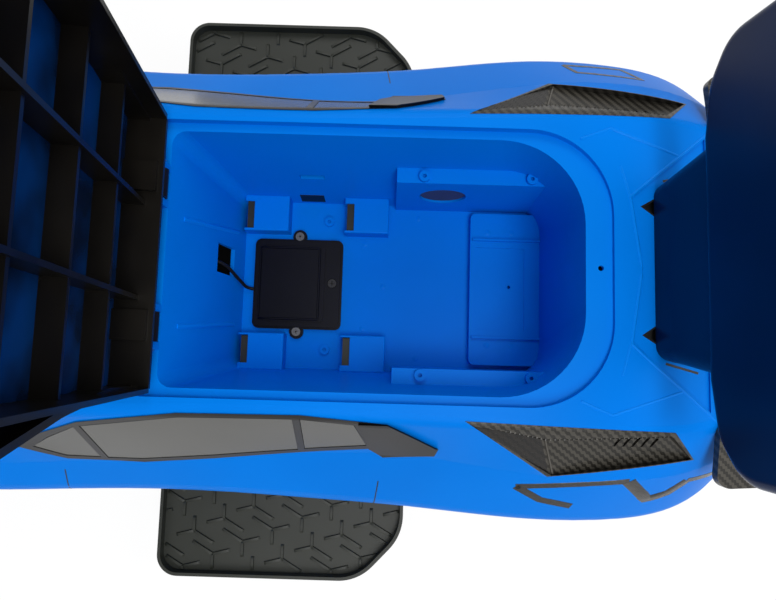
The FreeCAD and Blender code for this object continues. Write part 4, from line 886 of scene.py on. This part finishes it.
@dataclass
class Bodywork(Assembly):
    """The blue body's creases and shut lines, its dark side graphics and the wiper; the creases and the door
    handle are in a lighter blue as painted highlight, and the left graphic in darker carbon as painted shade.
    """

    strips: tuple = (
        # The creases are raised strips in the lighter blue, a painted highlight.
        Strip("body_creases", "body_shell", RIDGE_BLUE_PAINTED_HIGHLIGHT, (
            ((257, 92), (279, 101), (329, 84)), ((293, 52), (310, 67), (327, 81), (364, 112))),
            3.0, 0.5, 0.25, pairing=Pairing.TOGETHER,
            middle=(((286, 74), (293, 51), (301, 0), (293, -51), (286, -74)),)),
        Strip("bonnet_seams", "body_shell", GASKET_BLACK, (((-206, 90), (-250, 84), (-330, 66), (-392, 46)),),
              1.1, 0.12, pairing=Pairing.TOGETHER, middle=(((-394, 44), (-398, 0), (-394, -44)),)),
        Strip("door_seam", "body_shell", GASKET_BLACK, (
            ((-128, 174), (-134, 150), (-128, 92), (-112, 70), (60, 68), (92, 82), (112, 124), (120, 178)),),
            1.1, 0.12, view=View.SIDE, pairing=Pairing.APART),
        # The door handle is in the same lighter blue, a painted highlight.
        Strip("door_handle", "body_shell", RIDGE_BLUE_PAINTED_HIGHLIGHT, (((70, 128), (98, 131)),), 9.0, 2.4, 0.6, View.SIDE,
              Pairing.APART),
        Strip("tail_graphic_right", "body_shell", CARBON, (
            ((264, 181), (271, 168), (324, 163), (313, 180), (264, 181)),), 4.5, 0.24),
        Strip("rear_seam", "body_shell", GASKET_BLACK, (((318, -65), (342, -71)), ((318, 65), (342, 71))),
              2.0, 0.12),
        Strip("wiper", "windscreen", CHASSIS_BLACK, (((-212, 12), (-228, 34), (-266, 46)),), 3.4, 1.8, 0.5),
    )
    band: tuple = (((383, -147), (351, -151)), ((351, -151), (340, -162), (325, -168), (303, -151)),
                   ((303, -151), (244, -157), (223, -159)), ((223, -159), (243, -170), (268, -175)))
    band_widths: tuple = (6.75, 11.25, 6.75, 8.25)
    band_height: float = 0.24

    def build(self) -> None:
        """Lays every strip on the body, and the left graphic's parts with a width each, in darker carbon as
        painted shade.
        """
        self.lay()
        band = bmesh.new()
        for line, width in zip(self.band, self.band_widths):
            add_ribbon(band, self.shop.skin("body_shell"), View.PLAN.path(line, Side.RIGHT), DOWN, width * MM,
                       self.band_height * MM)
        # The left graphic gets the darker carbon copy as painted shade.
        self.shape("tail_graphic_left", band, CARBON_PAINTED_SHADE)


@dataclass
class NoseAndTail(Assembly):
    """Lamp bars, grille slats and diffuser fins."""

    strips: tuple = (
        Strip("headlight_bars", "headlights", LAMP_CLEAR, (
            ((-392, 101), (-362, 108), (-336, 128)), ((-362, 108), (-372, 99)), ((-348, 118), (-334, 121))),
            4.6, 0.9, 0.5, pairing=Pairing.APART, step=3.0),
        Strip("headlight_reflector", "headlights", CHROME, (((-384, 105), (-352, 122), (-330, 134)),),
              2.0, 0.6, 0.4, pairing=Pairing.APART),
        Strip("tail_light_bars", "tail_lights", BUTTON_RED, (
            ((62, 173), (98, 166)), ((63, 181), (97, 173)), ((80, 177), (90, 166))), 3.0, 0.5, 0.5, View.REAR,
            Pairing.APART),
        Strip("diffuser_fins", "rear_diffuser", CHASSIS_BLACK, tuple(
            ((y, 93), (y, 117)) for y in (-64, -52, 52, 64)), 2.4, 0.5, 0.6, View.REAR, step=4.1),
    )
    slat: UnitSize = UnitSize(7.0 * MM, 1.3 * MM, 1.0 * MM)
    slat_rows: int = 7
    slat_columns: int = 18
    slat_step: Point2 = (6.82 * MM, 4.836 * MM)
    slat_foot: float = 65.5 * MM
    slat_slant: float = 28.0
    slat_sunk: float = 0.6 * MM
    slat_margin: tuple = ((4, 0), (-4, 0), (0, 3), (0, -3))

    def build(self) -> None:
        """Lays the lamp bars and fins, and repeats slanted slats wherever a whole one has room."""
        self.lay()
        skin = self.shop.skin("front_grille")
        spots = []
        for row in range(self.slat_rows):
            for column in range(-self.slat_columns, self.slat_columns + 1):
                y = (column + (row % 2) / 2) * self.slat_step[0]
                start = Vector((-0.5, y, self.slat_foot + row * self.slat_step[1]))
                found = skin.hit(start, -FORWARD)
                if not found or any(skin.hit(start + Vector((0, *margin)) * MM, -FORWARD) is None
                                    for margin in self.slat_margin):
                    continue
                point, normal = found
                slant = math.radians(self.slat_slant if column % 2 else -self.slat_slant)
                turn = normal.to_track_quat("Z", "Y").to_matrix() @ Matrix.Rotation(slant, 3, "Z")
                spots.append(Spot(tuple(point - normal * self.slat_sunk), tuple(turn.to_euler())))
        self.repeat("grille_slats", unit_bar(0.5), self.slat, GASKET_BLACK, spots)


@dataclass
class SideVents(Assembly):
    """Each scoop's upright ribs along its inner wall, a dark plate of painted shade on its front facet, and its
    ridge in a lighter grey as painted highlight.
    """

    strips: tuple = (
        # The ridge strip is in the lighter grey, a painted highlight.
        Strip("vent_ridges", "side_vents", VENT_RIDGE_PAINTED_HIGHLIGHT, (((237.5, 120), (247.0, 146.5)),), 2.4, 0.9, 0.4,
              pairing=Pairing.TOGETHER),
    )
    rib: UnitSize = UnitSize(1.3 * MM, 1.6 * MM, 1.0)
    pitch: float = 3.1
    wall: tuple = ((186, 110.4, 246.0), (236, 119.6, 229.6), (321, 115.2, 231.6))
    highest: float = 246.5
    shortest: float = 2.0
    facet: tuple = ((180, 109.5, 249.0), (236, 119.0, 229.0), (246, 148.0, 211.5))
    facet_share: float = 0.9
    panel_proud: float = 0.25 * MM
    probe_inset: float = 1.6
    rib_inset: float = 0.4
    top_room: float = 0.6
    sunk: float = 1.0

    def build(self) -> None:
        """Covers the front facet on both sides with a dark plate as painted shade, lays the ridges, and repeats
        the ribs along the wall's foot.
        """
        panels = bmesh.new()
        for side in Side:
            corners = [Vector((x, y * side.value, z)) * MM for x, y, z in self.facet]
            middle = sum(corners, Vector()) / 3
            add_plate(panels, [middle.lerp(corner, self.facet_share) for corner in corners], self.panel_proud)
        # The plates are painted shade on the front facets.
        self.shape("vent_front_panels", panels, CARBON_PAINTED_SHADE)
        self.lay()
        skin = self.shop.skin("side_vents")
        spots = []
        for start, end in zip(self.wall, self.wall[1:]):
            lean = math.atan2(end[1] - start[1], end[0] - start[0])
            count = int((end[0] - start[0]) / self.pitch)
            for i in range(count):
                x, y, foot = Vector(start).lerp(Vector(end), (i + 0.5) / count)
                low = foot - self.sunk
                for side in Side:
                    found = skin.hit(Vector((x, side.value * (y - self.probe_inset), 300)) * MM, DOWN)
                    high = min(found[0].z / MM - self.top_room, self.highest) if found else low
                    if high - low > self.shortest:
                        at = Vector((x, side.value * (y - self.rib_inset), low)) * MM
                        spots.append(Spot(tuple(at), (0, 0, lean * side.value), (1, 1, (high - low) * MM)))
        self.repeat("vent_ribs", unit_bar(0.7), self.rib, CARBON, spots)


@dataclass
class TubFittings(Assembly):
    """The tub's ejector rounds and wall marks, its front step edges in a lighter blue as painted highlight, the
    battery box's border and screw slots, and a dark disc in the wheel box's hole as painted shadow.
    """

    strips: tuple = (
        Strip("battery_cover_border", "battery_cover", BOX_BLACK, (
            ((4, -33), (4, 33), (59, 33), (59, -33), (4, -33)),), 2.6, 1.0, 0.4),
    )
    wall_slot: Strip = Strip("wall_slot", "body_shell", BOX_BLACK, (((40, 72, 115), (62, 72, 115)),),
                             17.0, 0.3, 0.96)
    # The step edges are in the lighter blue, a painted highlight.
    step_edges: Strip = Strip("front_step_edges", "body_shell", RIDGE_BLUE_PAINTED_HIGHLIGHT, (
        ((20, 32, 220), (20, 44, 120)), ((20, -48, 220), (20, -40, 120))), 5.0, 1.0, 0.3)
    rounds: tuple = ((100, 40), (100, -40), (150, 66), (150, -66), (118, 0), (236, 52), (236, -52), (214, 52),
                     (214, -52))
    ejector: UnitSize = UnitSize(5.0 * MM, 5.0 * MM, 0.35 * MM)
    ejector_sunk: float = 0.2 * MM
    level: float = 0.95
    probe_height: float = 235.0
    blank: UnitSize = UnitSize(39.4 * MM, 39.4 * MM, 1.2 * MM)
    blank_at: Point3 = (168 * MM, 77 * MM, 152 * MM)
    screws: tuple = (("battery_box_screws", 39.3, 44.5), ("battery_box_screws", 39.3, -44.5),
                     ("battery_cover_screw", 71.0, 1.0))
    screw_slot: UnitSize = UnitSize(4.2 * MM, 0.9 * MM, 0.15 * MM)
    slot_turns: Point2 = (40, 130)

    def build(self) -> None:
        """Lays the lines, adds a dark disc in the wheel box's hole as painted shadow of the floor seen through
        it, and repeats the rounds and the screws' crossed slots.
        """
        self.lay()
        floors = filter(None, (self._below("body_shell", x, y) for x, y in self.rounds))
        spots = [Spot(tuple(point - normal * self.ejector_sunk)) for point, normal in floors
                 if normal.z > self.level]
        self.repeat("tub_ejector_rounds", unit_peg(24, 0.9), self.ejector, BODY_BLUE, spots)
        for strip, way in ((self.wall_slot, Vector((0, 1, 0))), (self.step_edges, FORWARD)):
            self.ribbons(strip, "", [[Vector(end) * MM for end in line] for line in strip.lines], way)
        # A dark disc stands in the wheel box's hole as painted shadow of the floor seen through it.
        self.repeat("wheel_box_blank", unit_peg(48, 0.98), self.blank, WHEEL_BOX_PAINTED_SHADOW,
                    [Spot(self.blank_at, (math.radians(90), 0, 0))])
        heads = filter(None, (self._below(node, x, y) for node, x, y in self.screws))
        spots = [Spot(tuple(point), (0, 0, math.radians(turn)))
                 for point, _ in heads for turn in self.slot_turns]
        self.repeat("screw_slots", unit_bar(0.8), self.screw_slot, GASKET_BLACK, spots)

    def _below(self, node: str, x: float, y: float) -> tuple[Vector, Vector] | None:
        """The point and the normal of a node's surface under the lid, at a place in plan in millimetres."""
        return self.shop.skin(node).hit(Vector((x, y, self.probe_height)) * MM, DOWN)


@dataclass
class Seat(Assembly):
    """Channels on the lid's seat face, ribs on the backrest's rear, and the lid's two finishes: a painted
    reflection of the blue tub on its inner panels and brown-black painted shade on the rest.
    """

    strips: tuple = (
        Strip("backrest_back_ribs", "backrest", SEAT_BLACK, (
            ((-96, 372), (-70, 392), (70, 392), (96, 372)), ((-88, 352), (-64, 372), (64, 372), (88, 352))),
            5.0, 1.0, 0.5, View.REAR),
    )
    channels: tuple = ((-66, 57, 175), (-44, 35, 193), (-22, 35, 193), (0, 35, 193), (22, 35, 193),
                       (44, 35, 193), (66, 57, 175))
    channel: Strip = Strip("seat_channels", "seat_lid", RIB_BLACK_AND_PAINTED_SHADE, (), 13.0, 1.5, 0.55)
    above: float = 312.0
    hinge: Point3 = (-0.039, 0.0, 0.252)
    open_deg: float = 82.0
    roof: float = 19.0 * MM
    roof_room: float = 0.3 * MM
    level: float = 0.9

    def build(self) -> None:
        """Lays the channels and ribs where the sitter's seat and back rest, and gives the lid its painted
        reflection and painted shade.
        """
        turn = Matrix.Rotation(math.radians(-self.open_deg), 4, "Y")
        place = Matrix.Translation(Vector(self.hinge)) @ turn @ Matrix.Translation(-Vector(self.hinge))
        down = place.to_3x3() @ DOWN
        self._dull_ribs(place.inverted(), down)
        paths = [[place @ (Vector((x, y, self.above)) * MM) for x in (start, end)]
                 for y, start, end in self.channels]
        self.ribbons(self.channel, "", paths, down, "lid")
        self.lay()

    def _dull_ribs(self, closed: Matrix, down: Vector) -> None:
        """Gives the lid's inner panels a glossy finish with a painted reflection of the blue tub, and all the
        rest of it a duller brown-black that is partly the ribs' own colour and partly painted shade.

        Args:
            closed: The move from the open lid to the closed one.
            down: The way on the open lid that points down on the closed one.
        """
        mesh = self.shop.node("seat_lid").data
        mesh.materials.append(RIB_BLACK_AND_PAINTED_SHADE.material())
        roof = self.hinge[2] + self.roof
        for face in mesh.polygons:
            at_roof = abs((closed @ face.center).z - roof) < self.roof_room
            # Panels at the roof get the painted blue reflection; every other face gets the brown-black painted
            # shade.
            face.material_index = 0 if at_roof and face.normal.dot(down) > self.level else 1


@dataclass
class FootrestTread(Assembly):
    """The raised three-armed ribs on a footrest's tray, in millimetres on the driver's right."""

    side: Side
    floor_z: float = 48.0
    sunk: float = 0.3
    rib: UnitSize = UnitSize(1.0, 3.3 * MM, 2.0 * MM)
    centre: Point2 = (25.1, 203.9)
    steps: tuple = ((-28.8, 12.3), (59.0, 37.0))
    counts: tuple[int, int] = (9, 4)
    twin: Point2 = (48.4, 9.4)
    arms: tuple = ((0.0, -13.5), (19.9, 11.5), (-16.5, 4.1))
    overlap: float = 2.0
    shortest_share: float = 0.08
    edges: tuple = ((-88.5, 190.5), (139.5, 190.5), (139.5, 234.5), (135.0, 246.0), (114.0, 266.0),
                    (102.0, 272.5), (90.0, 276.5), (-72.0, 276.5), (-84.5, 270.5), (-88.5, 262.0))

    def _clipped(self, start: Point2, end: Point2) -> tuple[Point2, Point2] | None:
        """The part of a stroke that lies inside the tray.

        Args:
            start: One end.
            end: The other end.

        Returns:
            Both ends of that part, or None where next to nothing is left.
        """
        low, high = 0.0, 1.0
        dx, dy = end[0] - start[0], end[1] - start[1]
        for (ax, ay), (bx, by) in zip(self.edges, self.edges[1:] + self.edges[:1]):
            nx, ny = -(by - ay), bx - ax
            inside = nx * (start[0] - ax) + ny * (start[1] - ay)
            slope = nx * dx + ny * dy
            if abs(slope) < 1e-9:
                if inside < 0:
                    return None
            elif slope > 0:
                low = max(low, -inside / slope)
            else:
                high = min(high, -inside / slope)
        if high - low < self.shortest_share:
            return None
        return (start[0] + dx * low, start[1] + dy * low), (start[0] + dx * high, start[1] + dy * high)

    def build(self) -> None:
        """Repeats the ribs over the tray."""
        (step_x, step_y), (row_x, row_y) = self.steps
        spots = []
        for i in range(-self.counts[0], self.counts[0] + 1):
            for j in range(-self.counts[1], self.counts[1] + 1):
                x = self.centre[0] + i * step_x + j * row_x
                y = self.centre[1] + i * step_y + j * row_y
                for cx, cy, sign in ((x, y, 1), (x + self.twin[0], y + self.twin[1], -1)):
                    for ax, ay in self.arms:
                        cut = self._clipped((cx, cy), (cx + sign * ax, cy + sign * ay))
                        if cut:
                            spots.append(self._spot(*cut))
        self.repeat("footrest_tread_" + self.side.word, unit_bar(0.7), self.rib, REST_GREY, spots,
                    "footrest_" + self.side.word[0])

    def _spot(self, start: Point2, end: Point2) -> Spot:
        """One rib from point to point, on this side of the car.

        Args:
            start: One end.
            end: The other end.

        Returns:
            The rib's spot.
        """
        sign = self.side.value
        dx, dy = end[0] - start[0], (end[1] - start[1]) * sign
        at = Vector(((start[0] + end[0]) / 2, sign * (start[1] + end[1]) / 2, self.floor_z - self.sunk))
        length = math.hypot(dx, dy) + self.overlap
        return Spot(tuple(at * MM), (0, 0, math.atan2(dy, dx)), (length * MM, 1, 1))


@dataclass
class RoadWheel(Assembly):
    """One wheel's tyre with its tread blocks, and the nuts round its hub."""

    corner: str
    axle_x: float
    axle_z: float = 74.0
    radius: float = 73.7
    base: float = 71.4
    crown: Point2 = (131.0, 161.0)
    inner_side: tuple = ((51.2, 125.0), (52.6, 122.8), (56.0, 122.0), (61.0, 122.0), (62.0, 121.999),
                         (64.5, 122.6), (68.5, 124.2), (70.6, 127.0))
    outer_side: tuple = ((70.6, 165.0), (68.5, 167.8), (64.5, 169.4), (63.8, 169.9), (61.0, 169.98),
                         (60.2, 169.3), (56.0, 169.6), (52.6, 169.2), (51.2, 167.0))
    blocks: int = 34
    block: Point2 = (8.4 * MM, 12.6 * MM)
    block_rows: tuple = ((131.5, -18), (146.0, 0), (160.5, 18))
    block_sunk: float = 0.8
    nuts: int = 5
    nut: UnitSize = UnitSize(6.4 * MM, 6.4 * MM, 3.4 * MM)
    nut_circle: float = 31.0
    nut_y: float = 142.8

    def build(self) -> None:
        """Makes the tyre, its blocks and the nuts."""
        sign = 1 if self.corner.endswith("right") else -1
        body = "wheel_" + self.corner
        shape = bmesh.new()
        profile = [*self.inner_side, *((self.base, y) for y in self.crown), *self.outer_side]
        place = facing((self.axle_x * MM, 0.0, self.axle_z * MM), (0, sign, 0))
        add_turned(shape, in_metres(profile), place, 72)
        tyre = from_bmesh("tyre_carcass_" + self.corner, shape, RUBBER, 30)
        self.fit(tyre, RUBBER, body, ["tyre_" + self.corner])
        size = UnitSize(*self.block, (self.radius - self.base + self.block_sunk) * MM)
        self.repeat("tyre_blocks_" + self.corner, unit_bar(0.86), size, RUBBER, self._block_spots(sign), body)
        self.repeat("wheel_nuts_" + self.corner, unit_peg(6), self.nut, STEEL, self._nut_spots(sign), body)

    def _block_spots(self, sign: int) -> list[Spot]:
        """Rows of slanted blocks round the tread.

        Args:
            sign: The sign of Y on the wheel's side.

        Returns:
            A spot for each block.
        """
        spots = []
        for row, (y, degrees) in enumerate(self.block_rows):
            slant = math.radians(degrees)
            for i in range(self.blocks):
                angle = math.tau * (i + 0.5 * (row % 2)) / self.blocks
                out = Vector((math.cos(angle), 0, math.sin(angle)))
                along = Vector((-math.sin(angle), 0, math.cos(angle)))
                length = along * math.cos(slant) + Vector((0, 1, 0)) * math.sin(slant)
                at = Vector((self.axle_x, sign * y, self.axle_z)) + out * (self.base - self.block_sunk)
                spots.append(Spot(tuple(at * MM), tuple(turned(length, out).to_euler())))
        return spots

    def _nut_spots(self, sign: int) -> list[Spot]:
        """Nuts on the web between the spokes.

        Args:
            sign: The sign of Y on the wheel's side.

        Returns:
            A spot for each nut.
        """
        spots = []
        for i in range(self.nuts):
            angle = math.pi / 2 + math.tau * (i + 0.5) / self.nuts
            at = Vector((self.axle_x, sign * self.nut_y, self.axle_z))
            at += Vector((math.cos(angle), 0, math.sin(angle))) * self.nut_circle
            spots.append(Spot(tuple(at * MM), (-sign * math.pi / 2, 0, 0)))
        return spots


@dataclass
class HandWheel(Assembly):
    """The hand wheel's hub cap and the ribs of its grip."""

    tilt_deg: float = 20.0
    centre: Point3 = (-0.14719, 0.0, 0.312)
    cap: tuple = ((24.0, 7.4), (25.0, 8.0), (25.0, 9.0), (23.0, 10.2), (20.0, 10.4), (19.2, 9.8),
                  (18.0, 10.6), (12.0, 11.8), (5.0, 12.3), (0.4, 12.35))
    ring: float = 65.5
    grip: float = 8.5
    sunk: float = 0.75
    ribs: int = 96
    spokes: tuple = (0, math.pi / 2, -math.pi / 2)
    spoke_room: float = 0.28
    leans: tuple = (20, 100)
    rib: UnitSize = UnitSize(2.0 * MM, 9.0 * MM, 1.2 * MM)

    def build(self) -> None:
        """Makes the cap and repeats the grip's ribs between the spokes."""
        place = Matrix.Translation(Vector(self.centre)) @ Matrix.Rotation(math.radians(self.tilt_deg), 4, "Y")
        shape = bmesh.new()
        add_dome(shape, in_metres(self.cap), place, 40)
        self.shape("hand_wheel_cap", shape, CAP_BLACK, "steering")
        spots = []
        for i in range(self.ribs):
            angle = math.tau * i / self.ribs
            if any(abs(math.remainder(angle - spoke, math.tau)) < self.spoke_room for spoke in self.spokes):
                continue
            out = Vector((math.cos(angle), math.sin(angle), 0))
            along = Vector((-math.sin(angle), math.cos(angle), 0))
            for lean in self.leans:
                normal = out * math.cos(math.radians(lean)) - DOWN * math.sin(math.radians(lean))
                at = out * self.ring + normal * (self.grip - self.sunk)
                turn = place.to_3x3() @ turned(along, normal)
                spots.append(Spot(tuple(place @ (at * MM)), tuple(turn.to_euler())))
        self.repeat("hand_wheel_ribs", unit_bar(0.6), self.rib, GRIP_BLACK, spots, "steering")


@dataclass
class Dashboard(Assembly):
    """Two round dials with ticks and a needle, and a row of switches, on the face towards the driver."""

    face_x: float = -118.0
    dial_z: float = 256.4
    dial_y: Point2 = (24.0, -24.0)
    sunk: float = 0.4
    rim: tuple = ((6.5, 0.0), (6.5, 1.3), (7.2, 2.0), (8.0, 1.6), (8.3, 0.0))
    disc: tuple = ((6.7, 0.0), (6.7, 0.9), (0.3, 0.95))
    needle: tuple = ((-1.6, 0.5), (5.4, 0.15))
    needle_section: tuple = ((-1, 1.0), (1, 1.0), (1, 1.4), (-1, 1.4))
    tick_at: Point2 = (5.5, 0.85)
    ticks: int = 11
    first_tick: float = -30.0
    tick_step: float = 24.0
    tick: UnitSize = UnitSize(1.5 * MM, 0.4 * MM, 0.25 * MM)
    switch_sunk: float = 0.3
    switch_y: tuple = (-65, -52, -39, 39, 52, 65)
    switch: UnitSize = UnitSize(4.0 * MM, 7.0 * MM, 1.6 * MM)

    def build(self) -> None:
        """Makes the rims, faces, needles, ticks and switches."""
        rims, faces, needles = bmesh.new(), bmesh.new(), bmesh.new()
        ticks = []
        for y in self.dial_y:
            place = facing(((self.face_x - self.sunk) * MM, y * MM, self.dial_z * MM), (1, 0, 0))
            add_turned(rims, in_metres(self.rim), place, 40)
            add_dome(faces, in_metres(self.disc), place, 40)
            add_loft(needles, [[place @ (Vector((x, sign * half, height)) * MM)
                                for sign, height in self.needle_section] for x, half in self.needle])
            for i in range(self.ticks):
                angle = math.radians(self.first_tick + self.tick_step * i)
                turn = Matrix.Rotation(angle, 3, "Z")
                at = turn @ Vector((self.tick_at[0], 0, self.tick_at[1])) * MM
                ticks.append(Spot(tuple(place @ at), tuple((place.to_3x3() @ turn).to_euler())))
        self.shape("dial_rims", rims, CHROME)
        self.shape("dial_faces", faces, CAP_BLACK)
        self.shape("dial_needles", needles, BUTTON_RED)
        self.repeat("dial_ticks", unit_bar(1.0), self.tick, RIM_SILVER, ticks)
        switch_x = self.face_x - self.switch_sunk
        switches = [Spot((switch_x * MM, y * MM, self.dial_z * MM), (0, math.pi / 2, 0))
                    for y in self.switch_y]
        self.repeat("dash_switches", unit_bar(0.7), self.switch, MODULE_GREY, switches)


# ---- the studio ----
@dataclass(frozen=True)
class Lamp:
    """One soft square lamp."""

    name: str
    at: Point3
    aim: Point3
    size: float
    watts: float


@dataclass
class Studio:
    """Pale floor, white surroundings, soft lamps and the camera."""

    lamps: tuple = (
        Lamp("key", (0.3, -1.15, 1.5), (0.05, 0.0, 0.1), 0.8, 8.0),
        Lamp("top", (0.45, -0.40, 1.8), (0.10, 0.0, 0.1), 0.6, 12.0),
        Lamp("fill_right", (0.2, 1.2, 1.5), (0.05, 0.0, 0.1), 0.8, 7.5),
        Lamp("fill_tail", (1.4, 0.1, 1.3), (0.0, 0.0, 0.1), 0.9, 6.0),
    )
    surround: float = 0.44
    floor_size: float = 9.0
    floor_drop: float = 0.6 * MM
    floor_grey: float = 0.86
    floor_glow: float = 1.04
    glow_share: float = 0.86
    lens: float = 27.84
    at: Point3 = (0.125, -0.068, 0.660)
    right: Point3 = (0.9996, 0.0295, 0.0)
    up: Point3 = (-0.0294, 0.9946, 0.0995)

    def _world(self) -> None:
        """White where the camera or a gloss sees it, and a plain level elsewhere."""
        world = bpy.data.worlds.new("surroundings")
        bpy.context.scene.world = world
        world.use_nodes = True
        bench = NodeBench(world.node_tree)
        plain, white = (bench.add("ShaderNodeBackground", {0: (1, 1, 1, 1), 1: strength}).outputs[0]
                        for strength in (self.surround, 1.0))
        mix = bench.add("ShaderNodeMixShader", {0: bench.seen_directly(), 1: plain, 2: white})
        bench.add("ShaderNodeOutputWorld", {0: mix.outputs[0]})

    def _floor(self) -> None:
        """A plain pale floor that keeps the object's shadow."""
        shape = bmesh.new()
        bmesh.ops.create_grid(shape, x_segments=8, y_segments=8, size=self.floor_size)
        mesh = bpy.data.meshes.new("floor")
        shape.to_mesh(mesh)
        shape.free()
        mesh.transform(Matrix.Translation((0, 0, -self.floor_drop)))
        floor = bpy.data.objects.new("floor", mesh)
        bpy.context.scene.collection.objects.link(floor)
        material = bpy.data.materials.new("floor_white")
        material.use_nodes = True
        bench = NodeBench(material.node_tree)
        matt = bench.add("ShaderNodeBsdfDiffuse", {"Color": (*[self.floor_grey] * 3, 1)})
        glow = bench.add("ShaderNodeEmission", {"Color": (1, 1, 1, 1), "Strength": self.floor_glow})
        share = bench.math("MULTIPLY", bench.seen_directly(), self.glow_share)
        mix = bench.add("ShaderNodeMixShader", {0: share, 1: matt.outputs[0], 2: glow.outputs[0]})
        bench.add("ShaderNodeOutputMaterial", {"Surface": mix.outputs[0]})
        mesh.materials.append(material)
        floor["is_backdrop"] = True

    def _camera(self) -> bpy.types.Object:
        """The camera over the tub, level with the car's side.

        Returns:
            The camera's object, not linked yet.
        """
        lens = bpy.data.cameras.new("camera")
        lens.sensor_width = 36.0
        lens.lens = self.lens
        lens.clip_start = 0.01
        camera = bpy.data.objects.new("camera", lens)
        right = Vector(self.right).normalized()
        up = (Vector(self.up) - right * Vector(self.up).dot(right)).normalized()
        turn = Matrix((right, up, right.cross(up))).transposed()
        camera.matrix_world = Matrix.Translation(Vector(self.at)) @ turn.to_4x4()
        return camera

    def build(self) -> None:
        """Sets up everything round the object."""
        scene = bpy.context.scene
        scene.view_settings.view_transform = "Standard"
        self._world()
        self._floor()
        for lamp in self.lamps:
            light = bpy.data.lights.new(lamp.name, "AREA")
            light.shape = "SQUARE"
            light.size = lamp.size
            light.energy = lamp.watts
            holder = bpy.data.objects.new(lamp.name, light)
            holder.location = lamp.at
            holder.rotation_euler = (Vector(lamp.at) - Vector(lamp.aim)).to_track_quat("Z", "Y").to_euler()
            scene.collection.objects.link(holder)
        scene.camera = self._camera()
        scene.collection.objects.link(scene.camera)
        LOG.info("studio set with %d lamps", len(self.lamps))


def main() -> None:
    """Builds the car's looks round its frame, and the studio."""
    logging.basicConfig(level=logging.INFO, format="%(name)s %(message)s")
    shop = Workshop()
    shop.paint()
    assemblies = [kind(shop) for kind in (
        Bodywork, NoseAndTail, SideVents, TubFittings, Seat, HandWheel, Dashboard)]
    assemblies += [FootrestTread(shop, side) for side in Side]
    assemblies += [RoadWheel(shop, f"{end}_{side.word}", x) for end, x in (("front", -225.0), ("rear", 225.0))
                   for side in Side]
    for assembly in assemblies:
        assembly.build()
    Studio().build()


if __name__ == "__main__":
    main()
